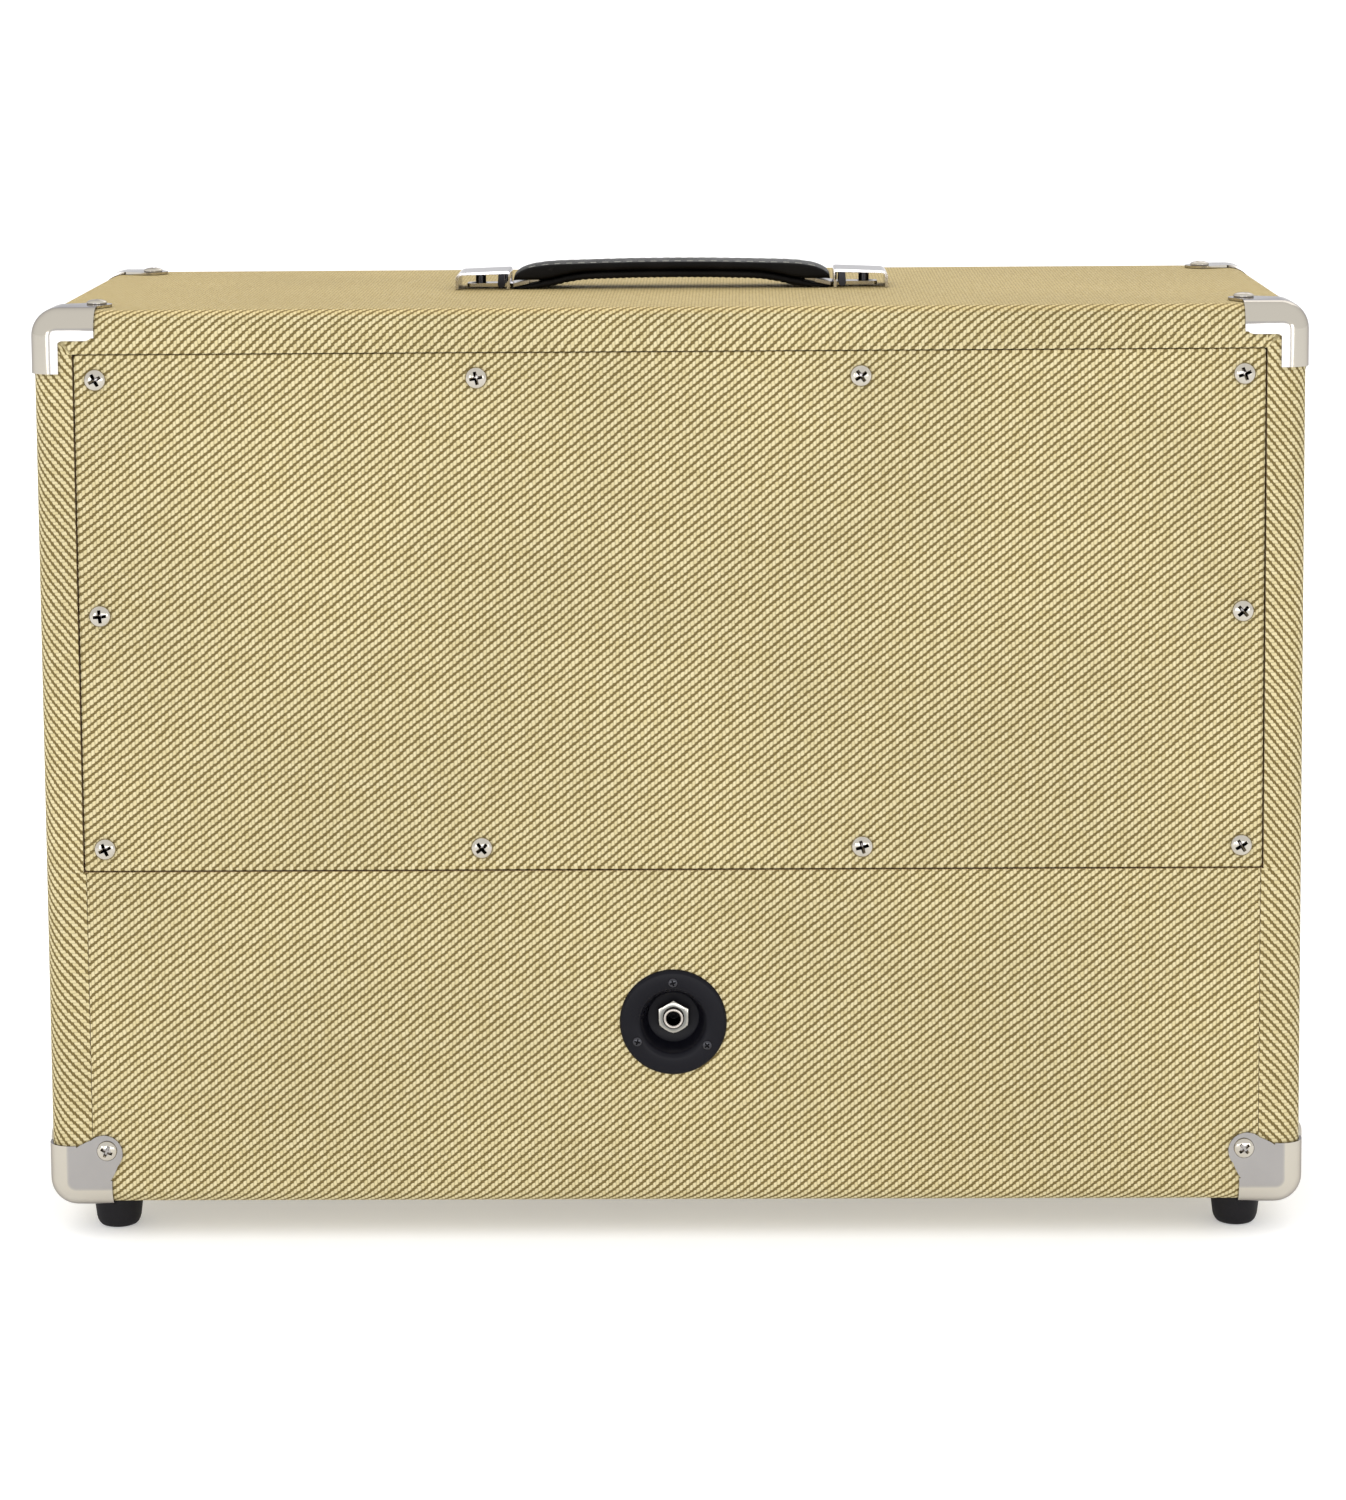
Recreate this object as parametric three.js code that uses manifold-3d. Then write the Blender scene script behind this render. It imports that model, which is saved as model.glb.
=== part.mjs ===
// A closed-back 1 x 12 extension speaker cabinet covered in tweed cloth.
// Millimetres. +Z up, +Y out of the back (the side with the access panel and the jack), the grille faces -Y.
// Left and right are those of somebody who looks at the grille, so right is +X.
// The feet stand on z = 0.
import * as THREE from 'three';
import { mergeVertices } from 'three/addons/utils/BufferGeometryUtils.js';
import Module from 'manifold-3d';

const wasm = await Module();
wasm.setup();

// ---------------------------------------------------------------- driving dimensions

const WIDTH = 603; // over the cloth
const DEPTH = 260;
const HEIGHT = 434; // without the feet
const FOOT_HEIGHT = 17.5;

const BOARD = 17.6; // shell and baffle boards, nominal 18 mm plywood
const PANEL = 12; // rear panels
const CLEAT = 19; // square strips that the rear panels are screwed to
const CLOTH = 1;
const GAP = 0.3; // between two pieces that touch
const CORNER_R = 12; // corners of the box seen from the front
const EDGE_R = 9.5; // edges round the front and the back

const ARC_STEPS = 3; // flats in a quarter of a large rounding
const ROUND = 20; // sides of a large round piece
const SMALL_ROUND = 12; // sides of a screw or a foot

// ---------------------------------------------------------------- planes worked out from them

const SIDE = WIDTH / 2;
const BACK = DEPTH / 2;
const FRONT = -BACK;
const BOTTOM = FOOT_HEIGHT;
const TOP = BOTTOM + HEIGHT;
const SKIN = CLOTH + GAP; // from the outside to the bare wood
const WALL = SKIN + BOARD; // from the outside to the inside of a board
const INSIDE_X = SIDE - WALL;
const INSIDE_TOP = TOP - WALL;
const INSIDE_BOTTOM = BOTTOM + WALL;
const FAR = 1000; // further than any piece reaches

// ---------------------------------------------------------------- materials

const material = (color, roughness, metalness = 0) =>
  new THREE.MeshStandardMaterial({ color, roughness, metalness });

const PLYWOOD = material('#c9a878', 0.75);
const TWEED = material('#c2b387', 0.85);
const NICKEL = material('#c9c2b8', 0.25, 1);
const STEEL = material('#8f9092', 0.4, 1);
const BLACK_STEEL = material('#27262a', 0.45, 0.4);
const LEATHER = material('#1f1c19', 0.55);
const RUBBER = material('#262326', 0.8);
const GRILLE_CLOTH = material('#4a3428', 0.9);
const PAPER = material('#3a3633', 0.9);
const SPIDER_CLOTH = material('#b0813f', 0.9);
const COIL_FORMER = material('#7d5a36', 0.6);
const FERRITE = material('#3c3c40', 0.7);
const PHENOLIC = material('#6b4a2c', 0.7);
const CABLE_JACKET = material('#1b1b1d', 0.6);

// ---------------------------------------------------------------- solids

const X = new THREE.Vector3(1, 0, 0);
const Y = new THREE.Vector3(0, 1, 0);
const Z = new THREE.Vector3(0, 0, 1);
const ACROSS = { x: [Y, Z, X], y: [X, Z, Y], z: [X, Y, Z] };

// A closed geometry as a manifold-3d solid, turned right side out where a mirrored basis turned it.
function solid(geometry) {
  const bare = geometry.clone();
  bare.deleteAttribute('normal');
  bare.deleteAttribute('uv');
  const merged = mergeVertices(bare, 1e-4);
  const index = merged.index.array;
  const position = merged.attributes.position;
  const [a, b, c] = [new THREE.Vector3(), new THREE.Vector3(), new THREE.Vector3()];
  const triangles = [];
  let volume = 0;
  for (let i = 0; i < index.length; i += 3) {
    const [p, q, r] = index.subarray(i, i + 3);
    if (p === q || q === r || r === p) continue;
    triangles.push([p, q, r]);
    a.fromBufferAttribute(position, p);
    b.fromBufferAttribute(position, q);
    c.fromBufferAttribute(position, r);
    volume += a.dot(b.cross(c));
  }
  const outward = volume > 0 ? triangles : triangles.map(([p, q, r]) => [p, r, q]);
  const mesh = new wasm.Mesh({
    numProp: 3,
    vertProperties: new Float32Array(position.array),
    triVerts: new Uint32Array(outward.flat()),
  });
  return new wasm.Manifold(mesh);
}

function geometryOf(body) {
  const mesh = body.getMesh();
  const geometry = new THREE.BufferGeometry();
  geometry.setAttribute('position', new THREE.BufferAttribute(new Float32Array(mesh.vertProperties), 3));
  geometry.setIndex(new THREE.BufferAttribute(new Uint32Array(mesh.triVerts), 1));
  const flat = geometry.toNonIndexed();
  flat.computeVertexNormals();
  return flat;
}

function box([x0, x1], [y0, y1], [z0, z1]) {
  const geometry = new THREE.BoxGeometry(x1 - x0, y1 - y0, z1 - z0);
  geometry.translate((x0 + x1) / 2, (y0 + y1) / 2, (z0 + z1) / 2);
  return solid(geometry);
}

// An outline stood up along one axis. Its points are on the other two axes, taken in X, Y, Z order.
function prism(axis, outline, from, to) {
  const drawn = outline instanceof THREE.Shape;
  const shape = drawn ? outline : new THREE.Shape(outline.map(([p, q]) => new THREE.Vector2(p, q)));
  const geometry = new THREE.ExtrudeGeometry(shape, {
    depth: to - from,
    bevelEnabled: false,
    curveSegments: ARC_STEPS,
  });
  geometry.translate(0, 0, from);
  geometry.applyMatrix4(new THREE.Matrix4().makeBasis(...ACROSS[axis]));
  return solid(geometry);
}

// A profile of [radius, distance along the axis] points, turned about Y or Z.
function turned(axis, profile, sides) {
  const points = profile.map(([r, along]) => new THREE.Vector2(r, along));
  if (profile[0][0] > 0) points.push(points[0].clone());
  const geometry = new THREE.LatheGeometry(points, sides);
  if (axis === 'z') geometry.rotateX(Math.PI / 2);
  return solid(geometry);
}

// A plain rod along Y, for drilling holes.
function rodY([x, z], radius, [y0, y1], sides) {
  return turned('y', [[0, y0], [radius, y0], [radius, y1], [0, y1]], sides).translate([x, 0, z]);
}

// The outside of the cabinet, moved in by an inset: round corners, and rounded edges at the front and back.
function envelope(inset) {
  const [w, r, edge] = [SIDE - inset, CORNER_R - inset, EDGE_R - inset];
  const [low, high] = [BOTTOM + inset, TOP - inset];
  const shape = new THREE.Shape();
  shape.moveTo(-w + r, low);
  shape.lineTo(w - r, low);
  shape.absarc(w - r, low + r, r, -Math.PI / 2, 0);
  shape.lineTo(w, high - r);
  shape.absarc(w - r, high - r, r, 0, Math.PI / 2);
  shape.lineTo(-w + r, high);
  shape.absarc(-w + r, high - r, r, Math.PI / 2, Math.PI);
  shape.lineTo(-w, low + r);
  shape.absarc(-w + r, low + r, r, Math.PI, Math.PI * 1.5);
  const straight = DEPTH - 2 * (inset + edge);
  const geometry = new THREE.ExtrudeGeometry(shape, {
    depth: straight,
    bevelThickness: edge,
    bevelSize: edge,
    bevelOffset: -edge,
    bevelSegments: ARC_STEPS,
    curveSegments: ARC_STEPS,
  });
  geometry.rotateX(Math.PI / 2);
  geometry.translate(0, straight / 2, 0);
  return solid(geometry);
}

// ---------------------------------------------------------------- the group and its nodes

const amplifier = new THREE.Group();

function group(x, y, z) {
  const child = new THREE.Group();
  child.position.set(x, y, z);
  amplifier.add(child);
  return child;
}

function add(name, body, look, parent = amplifier, position = [0, 0, 0]) {
  const mesh = new THREE.Mesh(geometryOf(body), look);
  mesh.name = name;
  mesh.position.set(...position);
  parent.add(mesh);
}

// ---------------------------------------------------------------- rear panels: sizes and screw places

const REAR_FACE = BACK - SKIN - PANEL; // inside face of both rear panels
const SEAM_Z = BOTTOM + 163.9; // top of the lower rear panel
const LOWER_SEAM_X = 280.9; // where the side cloth ends on the lower rear panel
const ACCESS_GAP = 0.8;
const ACCESS_X = INSIDE_X - ACCESS_GAP;
const ACCESS_LOW = SEAM_Z + ACCESS_GAP;
const WINDOW_TOP = INSIDE_TOP - 1.4; // the doubled edge of the cloth hangs a little below the top board
const ACCESS_HIGH = WINDOW_TOP - ACCESS_GAP;

const SCREW_X = [-271.8, -91, 91, 271.8];
const SCREW_ROWS = { lower: BOTTOM + 175.4, middle: BOTTOM + 288.4, upper: BOTTOM + 401.5 };
const SCREW_PLACES = [
  ...SCREW_X.map((x) => [x, SCREW_ROWS.upper]),
  [SCREW_X[0], SCREW_ROWS.middle],
  [SCREW_X[3], SCREW_ROWS.middle],
  ...SCREW_X.map((x) => [x, SCREW_ROWS.lower]),
];
const SCREW_SHANK_R = 2;
const SCREW_LENGTH = 24;

const JACK_Z = BOTTOM + 89.9;
const JACK_HOLE_R = 18.6;

const LIP = 16; // how far the cloth turns in round the front opening
const BAFFLE_Y = FRONT + LIP + 0.6; // front face of the baffle
const SPEAKER_Z = BOTTOM + HEIGHT / 2;
const BAFFLE_HOLE_R = 141;

function drilled(board) {
  return SCREW_PLACES.reduce(
    (body, place) => {
      const hole = rodY(place, SCREW_SHANK_R + GAP, [BACK - SCREW_LENGTH - 2, BACK + 1], 8);
      return body.subtract(hole);
    },
    board,
  );
}

// ---------------------------------------------------------------- boards

function addBoards() {
  const timber = envelope(SKIN);
  const [floor, ceiling] = [INSIDE_BOTTOM + GAP, INSIDE_TOP - GAP];
  const reach = INSIDE_X - GAP;
  const all = [-FAR, FAR];
  add('top_panel', timber.intersect(box(all, all, [INSIDE_TOP, FAR])), PLYWOOD);
  add('bottom_panel', timber.intersect(box(all, all, [-FAR, INSIDE_BOTTOM])), PLYWOOD);
  add('left_side_panel', timber.intersect(box([-FAR, -INSIDE_X], all, [floor, ceiling])), PLYWOOD);
  add('right_side_panel', timber.intersect(box([INSIDE_X, FAR], all, [floor, ceiling])), PLYWOOD);

  const baffle = box([-reach, reach], [BAFFLE_Y, BAFFLE_Y + BOARD], [floor, ceiling]);
  const mouth = rodY([0, SPEAKER_Z], BAFFLE_HOLE_R, [BAFFLE_Y - 1, BAFFLE_Y + BOARD + 1], ROUND);
  add('baffle_board', baffle.subtract(mouth), PLYWOOD);

  const lower = box([-reach, reach], [REAR_FACE, BACK - SKIN], [floor, SEAM_Z]);
  const jackHole = rodY([0, JACK_Z], JACK_HOLE_R, [REAR_FACE - 1, BACK], ROUND);
  add('lower_back_panel', lower.subtract(jackHole), PLYWOOD);

  const access = box(
    [-ACCESS_X + SKIN, ACCESS_X - SKIN],
    [REAR_FACE, BACK - SKIN],
    [ACCESS_LOW + SKIN, ACCESS_HIGH - SKIN],
  );
  add('rear_access_panel', drilled(access), PLYWOOD);

  const cleatY = [REAR_FACE - GAP - CLEAT, REAR_FACE - GAP];
  const inner = reach - CLEAT;
  const between = [-inner + GAP, inner - GAP];
  const batten = [SEAM_Z - 22, SEAM_Z + 22];
  add('cleat_left', drilled(box([-reach, -inner], cleatY, [floor, ceiling])), PLYWOOD);
  add('cleat_right', drilled(box([inner, reach], cleatY, [floor, ceiling])), PLYWOOD);
  add('cleat_top', drilled(box(between, cleatY, [ceiling - CLEAT, ceiling])), PLYWOOD);
  add('panel_batten', drilled(box(between, cleatY, batten)), PLYWOOD);
}

// ---------------------------------------------------------------- tweed covering

// A thin skin all round, open at the front and turned in along the four front lips.
function covering() {
  const lipOut = [INSIDE_X - GAP, INSIDE_BOTTOM + GAP, INSIDE_TOP - GAP];
  const lipIn = [lipOut[0] - CLOTH, lipOut[1] + CLOTH, lipOut[2] - CLOTH];
  const lips = box([-lipOut[0], lipOut[0]], [FRONT, FRONT + LIP], [lipOut[1], lipOut[2]]);
  const opening = box([-lipIn[0], lipIn[0]], [FRONT - 1, FRONT + LIP + 1], [lipIn[1], lipIn[2]]);
  return envelope(0).subtract(envelope(CLOTH)).add(lips).subtract(opening);
}

// The strip that goes along the bottom and up the lower rear panel, grown by a margin.
function lowerStrip(margin) {
  const across = [-LOWER_SEAM_X - margin, LOWER_SEAM_X + margin];
  const underside = box(across, [-FAR, FAR], [-FAR, INSIDE_BOTTOM + SKIN + margin]);
  const rear = box(across, [BACK - CLOTH - EDGE_R, FAR], [-FAR, SEAM_Z + margin]);
  return underside.add(rear);
}

function addTweed() {
  const skin = covering();
  const window = box([-INSIDE_X, INSIDE_X], [0, FAR], [SEAM_Z, WINDOW_TOP]);
  const jackHole = rodY([0, JACK_Z], JACK_HOLE_R, [0, FAR], ROUND);
  add('tweed_wrap', skin.subtract(lowerStrip(GAP)).subtract(window), TWEED);
  add('tweed_lower_back', skin.intersect(lowerStrip(0)).subtract(jackHole), TWEED);

  const outer = box([-ACCESS_X, ACCESS_X], [REAR_FACE, BACK], [ACCESS_LOW, ACCESS_HIGH]);
  const hollow = box(
    [-ACCESS_X + CLOTH, ACCESS_X - CLOTH],
    [REAR_FACE - 1, BACK - CLOTH],
    [ACCESS_LOW + CLOTH, ACCESS_HIGH - CLOTH],
  );
  add('tweed_access_panel', drilled(outer.subtract(hollow)), TWEED);
}

// ---------------------------------------------------------------- access panel screws

function addAccessScrews() {
  const headR = 5;
  const head = [[headR - 0.4, 0.3], [headR, 0.9], [headR - 0.9, 2.3], [2.4, 3], [0, 3.1]];
  const tip = [[0, -SCREW_LENGTH], [0.4, -SCREW_LENGTH], [SCREW_SHANK_R, -SCREW_LENGTH + 4]];
  const screw = turned('y', [...tip, [SCREW_SHANK_R, 0.3], ...head], SMALL_ROUND);
  const rowOf = (place) => (place < 4 ? 'upper' : place < 6 ? 'middle' : 'lower');
  SCREW_PLACES.forEach(([x, z], i) => {
    add(`access_screw_${rowOf(i)}_${i + 1}`, screw, NICKEL, amplifier, [x, BACK, z]);
  });
}

// ---------------------------------------------------------------- corner protectors

const CORNER_STEEL = 1.2;
const CORNER_REACH = 29.6; // how far an arm runs along an edge
const CORNER_DEPTH = 12.5; // how far a face of the protector wraps over the edge

// The eared face: the two arms and, between them, a round ear that holds the screw.
function earOutline() {
  const ear = { centre: 27.4, radius: 7.3 };
  const shape = new THREE.Shape();
  shape.moveTo(-5, -5);
  shape.lineTo(CORNER_REACH, -5);
  shape.lineTo(CORNER_REACH, 7.5);
  shape.quadraticCurveTo(26.2, 9.6, 28.4, 12.4);
  shape.lineTo(33, 18.4);
  shape.absarc(ear.centre, ear.centre, ear.radius, -Math.PI / 4 + 0.2, Math.PI * 0.75 - 0.2);
  shape.lineTo(18.4, 33);
  shape.lineTo(12.4, 28.4);
  shape.quadraticCurveTo(9.6, 26.2, 7.5, CORNER_REACH);
  shape.lineTo(-5, CORNER_REACH);
  return shape;
}

// The plain face: an L with round arm ends. One arm lies along the side edge, the other is level.
function ellOutline() {
  const [sideArm, levelArm, round, notch] = [11.8, 13.8, 4.5, 3];
  const shape = new THREE.Shape();
  shape.moveTo(-5, -5);
  shape.lineTo(CORNER_REACH, -5);
  shape.lineTo(CORNER_REACH, levelArm - round);
  shape.absarc(CORNER_REACH - round, levelArm - round, round, 0, Math.PI / 2);
  shape.lineTo(sideArm + notch, levelArm);
  shape.absarc(sideArm + notch, levelArm + notch, notch, -Math.PI / 2, -Math.PI, true);
  shape.lineTo(sideArm, CORNER_REACH - round);
  shape.absarc(sideArm - round, CORNER_REACH - round, round, 0, Math.PI / 2);
  shape.lineTo(-5, CORNER_REACH);
  return shape;
}

// One face of a protector as a prism whose outline starts at the corner, mirrored into that corner.
function facePlate(axis, shape, corner, sign, reach) {
  const limits = [-reach, reach];
  const plate = prism(axis, shape, -CORNER_DEPTH, 5).intersect(box(limits, limits, limits));
  const along = 'xyz'.indexOf(axis);
  const scale = sign.map((s, i) => (i === along ? s : -s));
  return plate.scale(scale).translate(corner);
}

function addCornerProtectors() {
  const steel = envelope(-GAP - CORNER_STEEL).subtract(envelope(-GAP));
  const reach = 40;
  for (const [sideName, sx] of [['left', -1], ['right', 1]]) {
    for (const [endName, sy] of [['front', -1], ['back', 1]]) {
      for (const [levelName, sz] of [['bottom', -1], ['top', 1]]) {
        const corner = [sx * SIDE, sy * BACK, sz > 0 ? TOP : BOTTOM];
        const sign = [sx, sy, sz];
        // The plain face is on the front and on the back, but under the cabinet at the bottom back corners.
        const plain = endName === 'back' && levelName === 'bottom' ? 'z' : 'y';
        const region = ['x', 'y', 'z']
          .map((axis) => facePlate(axis, axis === plain ? ellOutline() : earOutline(), corner, sign, reach))
          .reduce((whole, plate) => whole.add(plate));
        add(`corner_${levelName}_${endName}_${sideName}`, steel.intersect(region), NICKEL);
      }
    }
  }
}

// ---------------------------------------------------------------- feet

const FOOT_X = 273.3;
const FOOT_BACK_Y = BACK - 30;
const FOOT_FRONT_Y = FRONT + 52;

function addFeet() {
  const [neck, waist, sole, recess] = [11.7, 10.2, 8.6, 4.2];
  const profile = [
    [0, FOOT_HEIGHT - GAP],
    [neck, FOOT_HEIGHT - GAP],
    [waist, 2.8],
    [sole, 0],
    [recess, 0],
    [recess, 9],
    [0, 9],
  ];
  const foot = turned('z', profile, SMALL_ROUND);
  for (const [endName, y] of [['front', FOOT_FRONT_Y], ['back', FOOT_BACK_Y]]) {
    for (const [sideName, sx] of [['left', -1], ['right', 1]]) {
      add(`foot_${endName}_${sideName}`, foot, RUBBER, amplifier, [sx * FOOT_X, y, 0]);
    }
  }
}

// ---------------------------------------------------------------- strap handle

const CAP_INNER = 80.6; // from the middle of the handle to the near face of a cap
const CAP_LENGTH = 27;
const CAP_HEIGHT = 9.5;
const CAP_WALL = 1.8;
const CAP_HALF_WIDTH = 15.5;
const POST_X = CAP_INNER + 15.2; // fixing post of a cap
const STRAP_HALF_WIDTH = 14;
const STRAP_BEND_X = 40; // where the stiff middle of the strap ends
const TONGUE = { halfWidth: 8, thick: 1.9, tip: CAP_INNER + 22.3, level: 3.15 };

function addHandle() {
  const handle = group(0, 0, TOP);
  const bend = STRAP_BEND_X - 0.15;
  const grip = [
    [-bend, 4.9], [-20, 5.4], [0, 5.6], [20, 5.4], [bend, 4.9],
    [bend, 13.6], [20, 14.1], [0, 14.2], [-20, 14.1], [-bend, 13.6],
  ];
  add('strap_grip', prism('y', grip, -STRAP_HALF_WIDTH, STRAP_HALF_WIDTH), LEATHER, handle);

  const near = CAP_INNER - 3.1; // where the leather stops, short of the cap
  const leather = [
    [STRAP_BEND_X + 0.15, 4.9], [46, 4.4], [53, 3.2], [60, 1.2], [66, 0.6], [near - 1.7, 0.6],
    [near - 0.2, 2.6], [near, 6], [near - 1.6, 9.6], [near - 4.8, 11.9], [near - 10, 13],
    [58, 13.4], [STRAP_BEND_X + 0.15, 13.6],
  ];
  const { halfWidth, thick, tip, level } = TONGUE;
  const tongue = [
    [near - 7, 4.6], [near - 1, 4.4], [near + 5.3, level - thick / 2], [tip, level - thick / 2],
    [tip, level + thick / 2], [near + 5.3, level + thick / 2], [near - 1, 4.4 + thick],
    [near - 7, 4.6 + thick],
  ];
  const slot = box([POST_X - 3.2, POST_X + 5.2], [-3.2, 3.2], [-1, 8]);
  const end = prism('y', leather, -STRAP_HALF_WIDTH, STRAP_HALF_WIDTH)
    .add(prism('y', tongue, -halfWidth, halfWidth).subtract(slot));

  const outer = CAP_INNER + CAP_LENGTH;
  const round = 4;
  const shape = new THREE.Shape();
  shape.moveTo(CAP_INNER, GAP);
  shape.lineTo(CAP_INNER, CAP_HEIGHT - 0.8);
  shape.lineTo(CAP_INNER + 0.8, CAP_HEIGHT);
  shape.lineTo(outer - round, CAP_HEIGHT);
  shape.absarc(outer - round, CAP_HEIGHT - round, round, Math.PI / 2, 0, true);
  shape.lineTo(outer, GAP);
  shape.lineTo(outer - CAP_WALL, GAP);
  shape.lineTo(outer - CAP_WALL, CAP_HEIGHT - round);
  shape.absarc(outer - round, CAP_HEIGHT - round, round - CAP_WALL, 0, Math.PI / 2);
  shape.lineTo(CAP_INNER + CAP_WALL, CAP_HEIGHT - CAP_WALL);
  shape.lineTo(CAP_INNER + CAP_WALL, GAP);
  const doorway = box([CAP_INNER - 1, CAP_INNER + CAP_WALL + 0.2], [-9, 9], [-1, CAP_HEIGHT - CAP_WALL]);
  const post = turned('z', [[0, GAP], [2.6, GAP], [2.6, CAP_HEIGHT - 1], [0, CAP_HEIGHT - 1]], SMALL_ROUND);
  const cap = prism('y', shape, -CAP_HALF_WIDTH, CAP_HALF_WIDTH)
    .subtract(doorway)
    .add(post.translate([POST_X, 0, 0]));

  for (const [sideName, sx] of [['left', -1], ['right', 1]]) {
    add(`strap_end_${sideName}`, end.scale([sx, 1, 1]), LEATHER, handle);
    add(`handle_cap_${sideName}`, cap.scale([sx, 1, 1]), NICKEL, handle);
  }
}

// ---------------------------------------------------------------- jack in its dish

const DISH_FLOOR = -11; // level of the recess floor, from the face of the cloth
const DISH_STEEL = 1.5;
const BUSHING_R = 4.7;
const PLUG_HOLE_R = 3.25;

function addJack() {
  const jack = group(0, BACK, JACK_Z);
  const hole = BUSHING_R + GAP;
  const under = DISH_FLOOR - DISH_STEEL;
  const dish = [
    [hole, DISH_FLOOR], [11.8, DISH_FLOOR], [15.6, 0.8], [17, 2], [22, 2.3], [25, 1.6], [25.75, GAP],
    [17.8, GAP], [17.2, -1], [13.5, under], [hole, under],
  ];
  add('jack_dish', turned('y', dish, ROUND), BLACK_STEEL, jack);

  const seat = under - GAP;
  const tail = seat - 6.4;
  const bushing = [
    [PLUG_HOLE_R, -5.5], [BUSHING_R, -5.5], [BUSHING_R, seat], [7.9, seat], [7.9, seat - 2.4],
    [BUSHING_R, seat - 2.4], [BUSHING_R, tail], [PLUG_HOLE_R, tail],
  ];
  add('jack_bushing', turned('y', bushing, 16), NICKEL, jack);

  const acrossFlats = 14.3;
  const corners = [0, 1, 2, 3, 4, 5].map((i) => {
    const angle = (i * Math.PI) / 3 + Math.PI / 6;
    const reach = acrossFlats / Math.sqrt(3);
    return [Math.cos(angle) * reach, Math.sin(angle) * reach];
  });
  const nut = prism('y', corners, DISH_FLOOR + GAP, DISH_FLOOR + GAP + 2.8);
  add('jack_nut', nut.subtract(rodY([0, 0], hole, [-FAR, FAR], 16)), NICKEL, jack);

  // Sleeve frame: a plate on the bushing, an arm under the plug and a rear post with a shelf on top.
  const plate = seat - 2.4 - GAP;
  const rear = plate - 30;
  const sheet = 1.4;
  const arm = -9.5; // level of the underside of the arm
  const frame = [
    [plate, 8.5], [plate, arm], [rear, arm], [rear, 4], [rear - 6, 4],
    [rear - 6, 4 + sheet], [rear + sheet, 4 + sheet], [rear + sheet, arm + sheet],
    [plate - sheet, arm + sheet], [plate - sheet, 8.5],
  ];
  add('jack_frame', prism('x', frame, -7.5, 7.5).subtract(rodY([0, 0], hole, [-FAR, FAR], 16)), STEEL, jack);

  // Tip contact: a springy strip on the shelf whose nose rests on the tip of a plug.
  const spring = 0.8;
  const rise = [[rear - 10, 5.8], [rear + 1, 5.8], [rear + 9, 5], [rear + 12.4, 2.2], [rear + 15, 4.8]];
  const upper = rise.map(([y, z]) => [y, z + spring]).reverse();
  add('jack_tip_contact', prism('x', [...rise, ...upper], -2.2, 2.2), STEEL, jack);
}

// ---------------------------------------------------------------- loudspeaker

const GASKET = 3;
const FLANGE_Y = BAFFLE_Y + BOARD + GAP + GASKET + GAP; // front face of the basket's flange
const TERMINAL_R = 142.6;

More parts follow.
